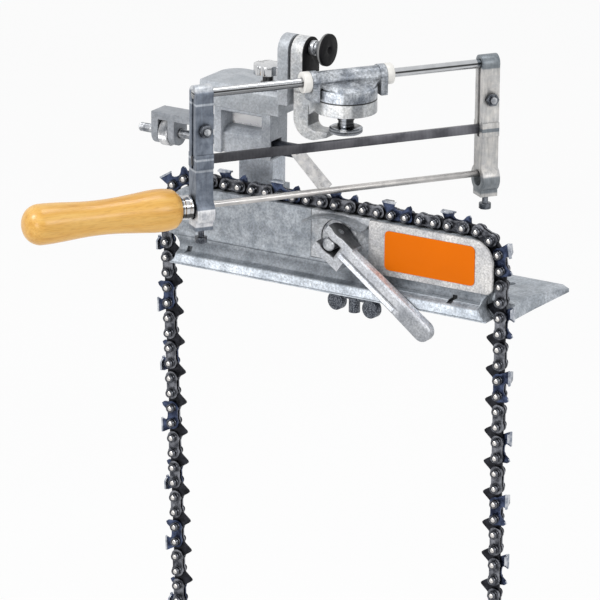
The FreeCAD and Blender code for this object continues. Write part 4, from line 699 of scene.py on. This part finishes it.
def split_up(mesh):
    """Groups the faces of a mesh that hang together."""
    work = bmesh.new()
    work.from_mesh(mesh)
    work.faces.ensure_lookup_table()
    left = set(range(len(work.faces)))
    groups = []
    while left:
        reached = [left.pop()]
        for index in reached:
            for edge in work.faces[index].edges:
                for face in edge.link_faces:
                    if face.index in left:
                        left.remove(face.index)
                        reached.append(face.index)
        groups.append(reached)
    work.free()
    return groups


def chrome_top_plates(piece, material):
    """Gives a chrome finish to the plate on top of each cutter, its largest outward face."""
    plate_depth = 0.0014
    mesh = piece.data
    mesh.materials.append(material)
    for group in split_up(mesh):
        sideways = [mesh.polygons[index] for index in group
                    if abs(mesh.polygons[index].normal.y) < 0.5]
        top = max(sideways, key=lambda face: face.area)
        outward = top.normal.copy()
        under = top.center.dot(outward) - plate_depth
        for index in group:
            face = mesh.polygons[index]
            if face.center.dot(outward) > under:
                face.material_index = 1


def turned_form(profile, segments, ridge_depth=0.0):
    """Corners and faces of a turned ring about X.

    The profile is a closed line of (along, radius, ridged) in millimetres. Every
    second corner of a ridged ring lies lower by the ridge's depth.
    """
    corners, faces = [], []
    for along, radius, ridged in profile:
        for step in range(segments):
            turn = 2 * math.pi * step / segments
            out = radius - (ridge_depth if ridged and step % 2 else 0)
            corners.append(Vector((along, out * math.cos(turn), out * math.sin(turn))) / 1000)
    rings = len(profile)
    for ring in range(rings):
        for step in range(segments):
            ahead = (step + 1) % segments
            low, high = ring * segments, (ring + 1) % rings * segments
            faces.append((low + step, low + ahead, high + ahead, high + step))
    return corners, faces


def axis_matrix(spot, direction):
    """Takes X to a direction and the zero to a spot of the guide's frame."""
    turn = Vector((1, 0, 0)).rotation_difference(Vector(direction).normalized())
    return Matrix.Translation(guide_point(*spot)) @ turn.to_matrix().to_4x4()


def turned(node, profile, places, material, segments=64, ridge_depth=0.0, sharp=30):
    """Replaces a node by turned forms, one at each (spot, direction)."""
    form, form_faces = turned_form(profile, segments, ridge_depth)
    corners, faces = [], []
    for spot, direction in places:
        matrix = axis_matrix(spot, direction)
        first = len(corners)
        corners += [matrix @ corner for corner in form]
        faces += [tuple(first + corner for corner in face) for face in form_faces]
    mesh = bpy.data.meshes.new(node)
    mesh.from_pydata(corners, [], faces)
    work = bmesh.new()
    work.from_mesh(mesh)
    bmesh.ops.recalc_face_normals(work, faces=work.faces)
    work.to_mesh(mesh)
    work.free()
    mesh.polygons.foreach_set("use_smooth", [True] * len(mesh.polygons))
    mesh.set_sharp_from_angle(angle=math.radians(sharp))
    mesh.materials.append(material)
    piece = new_object(node + "_turned", mesh)
    stand_in(piece, node)
    return piece


def smooth(*points):
    """Profile points of rings without ridges."""
    return [(along, radius, False) for along, radius in points]


def adjusting_wheel(look):
    """The knurled wheel of the chain stop, round its threaded rod."""
    rim = [(-2.6, 8.4, True), (2.6, 8.4, True)]
    profile = smooth((-3.2, 7.5)) + rim + smooth((3.2, 7.5), (3.2, 5.6), (2.9, 5.3), (2.9, 4.4),
                                                 (3.2, 4.1), (3.2, 2.75), (-3.2, 2.75))
    turned("adjusting_wheel", profile, [((-125.8, 0, STOP_ROD_HEIGHT), (1, 0, 0))], look,
           150, 0.35)


def adjusting_screw(look):
    """The rod of the chain stop, with its thread as rings."""
    tip, start, end, plain_end = -146.0, -145.4, -88.4, -68.0
    pitch, crest, root, middle = 1.0, 2.7, 2.32, 0.05
    threads = []
    along = start
    while along < end:
        threads += [(along, crest), (along + 0.12, crest), (along + 0.5, root),
                    (along + 0.62, root)]
        along += pitch
    profile = smooth((tip, middle), (tip, 2.2)) + smooth(*threads)
    profile += smooth((plain_end, crest), (plain_end, middle))
    turned("adjusting_screw", profile, [((0, 0, STOP_ROD_HEIGHT), (1, 0, 0))], look, 32,
           sharp=60)


def swivel_nut(look):
    """The nut under the head: a knurled rim above a waisted hub."""
    rim = [(0.6, 9.85, True), (3.0, 9.85, True)]
    profile = smooth((0, 4.05), (0, 8.8)) + rim
    profile += smooth((3.6, 8.9), (3.6, 6.0), (4.1, 5.0), (5.4, 5.0), (5.8, 4.55), (7.4, 4.55),
                      (7.8, 5.0), (9.9, 5.0), (9.9, 4.05))
    turned("swivel_nut", profile, [((HEAD_X, 0, 44.4), (0, 0, 1))], look, 150, 0.3)


def ferrule(look):
    """A chromed ferrule with two rolled grooves."""
    profile = smooth((-106.1, 6.02), (-106.1, 7.05), (-105.9, 7.2), (-104.7, 7.2), (-104.3, 6.75),
                     (-103.5, 6.75), (-103.1, 7.2), (-101.2, 7.2), (-100.8, 6.8), (-100.2, 6.8),
                     (-99.8, 7.2), (-98.8, 7.2), (-97.3, 6.0), (-97.3, 2.05), (-98.88, 2.05),
                     (-98.88, 6.02))
    way = (math.cos(FILE_TURN[2]), math.sin(FILE_TURN[2]), 0)
    turned("ferrule", profile, [((HEAD_X, 0, FILE_HEIGHT), way)], look, 72)


def chain_rivets(look, rim_look):
    """Spun rivets: a bright domed middle inside a rim darkened as painted shade, on both sides of
    the chain.
    """
    head = [(2.80, 0.05), (2.72, 0.65), (2.52, 1.15), (2.26, 1.5), (2.26, 1.65), (2.60, 1.9),
            (2.60, 2.3), (2.1, 2.6), (2.1, 1.9)]
    profile = smooth(*[(-along, radius) for along, radius in head])
    profile += smooth(*reversed(head))
    node = frame["nodes"]["chain_rivets"]
    places = []
    for group in split_up(node.data):
        ends = [node.data.vertices[corner].co for index in group
                for corner in node.data.polygons[index].vertices]
        middle = [(min(end[axis] for end in ends) + max(end[axis] for end in ends)) / 2
                  for axis in range(3)]
        places.append(((Vector(middle) - GUIDE_ZERO) * 1000, (0, 1, 0)))
    # Faces beyond the dome radius get the rim look, a darker copy of the rivet steel that stands
    # for painted shade round the dome.
    segments, dome_radius = 20, 1.55
    piece = turned("chain_rivets", profile, places, look, segments)
    piece.data.materials.append(rim_look)
    for index, face in enumerate(piece.data.polygons):
        ring = index // segments % len(profile)
        following = (ring + 1) % len(profile)
        face.material_index = int(max(profile[ring][1], profile[following][1]) > dome_radius)


# Camera, lamps and floor

WHITE_SHARE = 0.9
WORLD_STRENGTH = 0.5
CAMERA_SPOT = guide_point(1419.7, -2418.5, 847.6)
LAMP_AIM = Vector((0, 0, 0.1))

# Name, place, size and watts of each square lamp
LAMPS = (
    ("key", (-1.2, -1.8, 2.0), 0.9, 36),
    ("front", (0.2, -2.4, 0.5), 0.8, 8),
    ("top", (0.2, 0.3, 2.2), 0.8, 10),
    ("side", (2.0, -0.6, 0.9), 0.7, 9),
)


def add_camera():
    """A long lens from the photograph's direction, with its slight roll."""
    side = Vector((math.cos(AZIMUTH), math.sin(AZIMUTH), 0))
    ahead = Vector((-math.sin(AZIMUTH) * math.cos(ELEVATION),
                    math.cos(AZIMUTH) * math.cos(ELEVATION), -math.sin(ELEVATION)))
    up = side.cross(ahead)
    right = side * math.cos(ROLL) + up * math.sin(ROLL)
    top = up * math.cos(ROLL) - side * math.sin(ROLL)
    camera = new_object("camera", bpy.data.cameras.new("camera"))
    camera.data.lens = 300
    camera.data.sensor_width = 36
    camera.data.clip_end = 50
    axes = Matrix((right, top, -ahead)).transposed()
    camera.matrix_world = Matrix.Translation(CAMERA_SPOT) @ axes.to_4x4()
    bpy.context.scene.camera = camera


def seen_rays(tree):
    """1 for camera, mirror and glass rays, which see the background as it is."""
    path = tree.nodes.new("ShaderNodeLightPath")
    seen = path.outputs["Is Camera Ray"]
    for name in ("Is Glossy Ray", "Is Transmission Ray"):
        either = tree.nodes.new("ShaderNodeMath")
        either.operation = "MAXIMUM"
        tree.links.new(seen, either.inputs[0])
        tree.links.new(path.outputs[name], either.inputs[1])
        seen = either.outputs[0]
    return seen


def mix_shaders(tree, factor, first, second):
    """Shows the first shader where the factor is 0 and the second where it is 1."""
    choice = tree.nodes.new("ShaderNodeMixShader")
    tree.links.new(factor, choice.inputs[0])
    tree.links.new(first, choice.inputs[1])
    tree.links.new(second, choice.inputs[2])
    return choice.outputs[0]


def add_world():
    """A soft even light on the object, in front of a white background."""
    world = bpy.data.worlds.new("studio")
    bpy.context.scene.world = world
    world.use_nodes = True
    tree = world.node_tree
    soft = tree.nodes["Background"]
    soft.inputs["Color"].default_value = (0.98, 0.99, 1.0, 1)
    soft.inputs["Strength"].default_value = WORLD_STRENGTH
    white = tree.nodes.new("ShaderNodeBackground")
    white.inputs["Color"].default_value = (1, 1, 1, 1)
    white.inputs["Strength"].default_value = 1.0
    output = tree.nodes["World Output"]
    tree.links.new(mix_shaders(tree, seen_rays(tree), soft.outputs[0], white.outputs[0]),
                   output.inputs["Surface"])


def add_lamp(name, spot, size, power):
    """A square white lamp that faces the object."""
    lamp = new_object(name, bpy.data.lights.new(name, "AREA"))
    lamp.data.size = size
    lamp.data.energy = power
    lamp.location = spot
    lamp.rotation_euler = (LAMP_AIM - Vector(spot)).to_track_quat("-Z", "Y").to_euler()


def add_floor():
    """A pale floor just under the lowest link, nearly white to the eye but with soft shadows."""
    half, gap = 6, 0.002
    mesh = bpy.data.meshes.new("floor")
    low = cad_box[0].z - gap
    corners = [(-half, -half, low), (half, -half, low), (half, half, low), (-half, half, low)]
    mesh.from_pydata(corners, [], [(0, 1, 2, 3)])
    floor = new_object("floor", mesh)
    look = Look("floor_paint")
    look.feed("Base Color", look.ramp(look.noise(3), (0.4, shade(0.86)), (0.6, shade(0.9))))
    look.set("Roughness", 0.9)
    glow = look.node("ShaderNodeEmission")
    glow.inputs["Strength"].default_value = 1.0
    share = look.node("ShaderNodeMath", operation="MULTIPLY")
    share.inputs[1].default_value = WHITE_SHARE
    look.join(seen_rays(look.tree), share.inputs[0])
    look.join(mix_shaders(look.tree, share.outputs[0], look.shader.outputs[0], glow.outputs[0]),
              look.tree.nodes["Material Output"].inputs["Surface"])
    mesh.materials.append(look.material)


add_camera()
add_world()
for lamp in LAMPS:
    add_lamp(*lamp)
add_floor()
bpy.context.scene.view_settings.view_transform = "Standard"

looks = materials()
pieces = {node: dressed(node, looks[look_name], bevel)
          for node, (look_name, bevel) in DRESSING.items()}
for side in ("near", "far"):
    chrome_top_plates(pieces["chain_cutters_" + side], looks["top_plate"])
saddle_web(pieces["swivel_head"])
adjusting_wheel(looks["wheel"])
adjusting_screw(looks["plated"])
swivel_nut(looks["dark_chrome"])
ferrule(looks["ferrule"])
chain_rivets(looks["rivet"], looks["rivet_rim"])
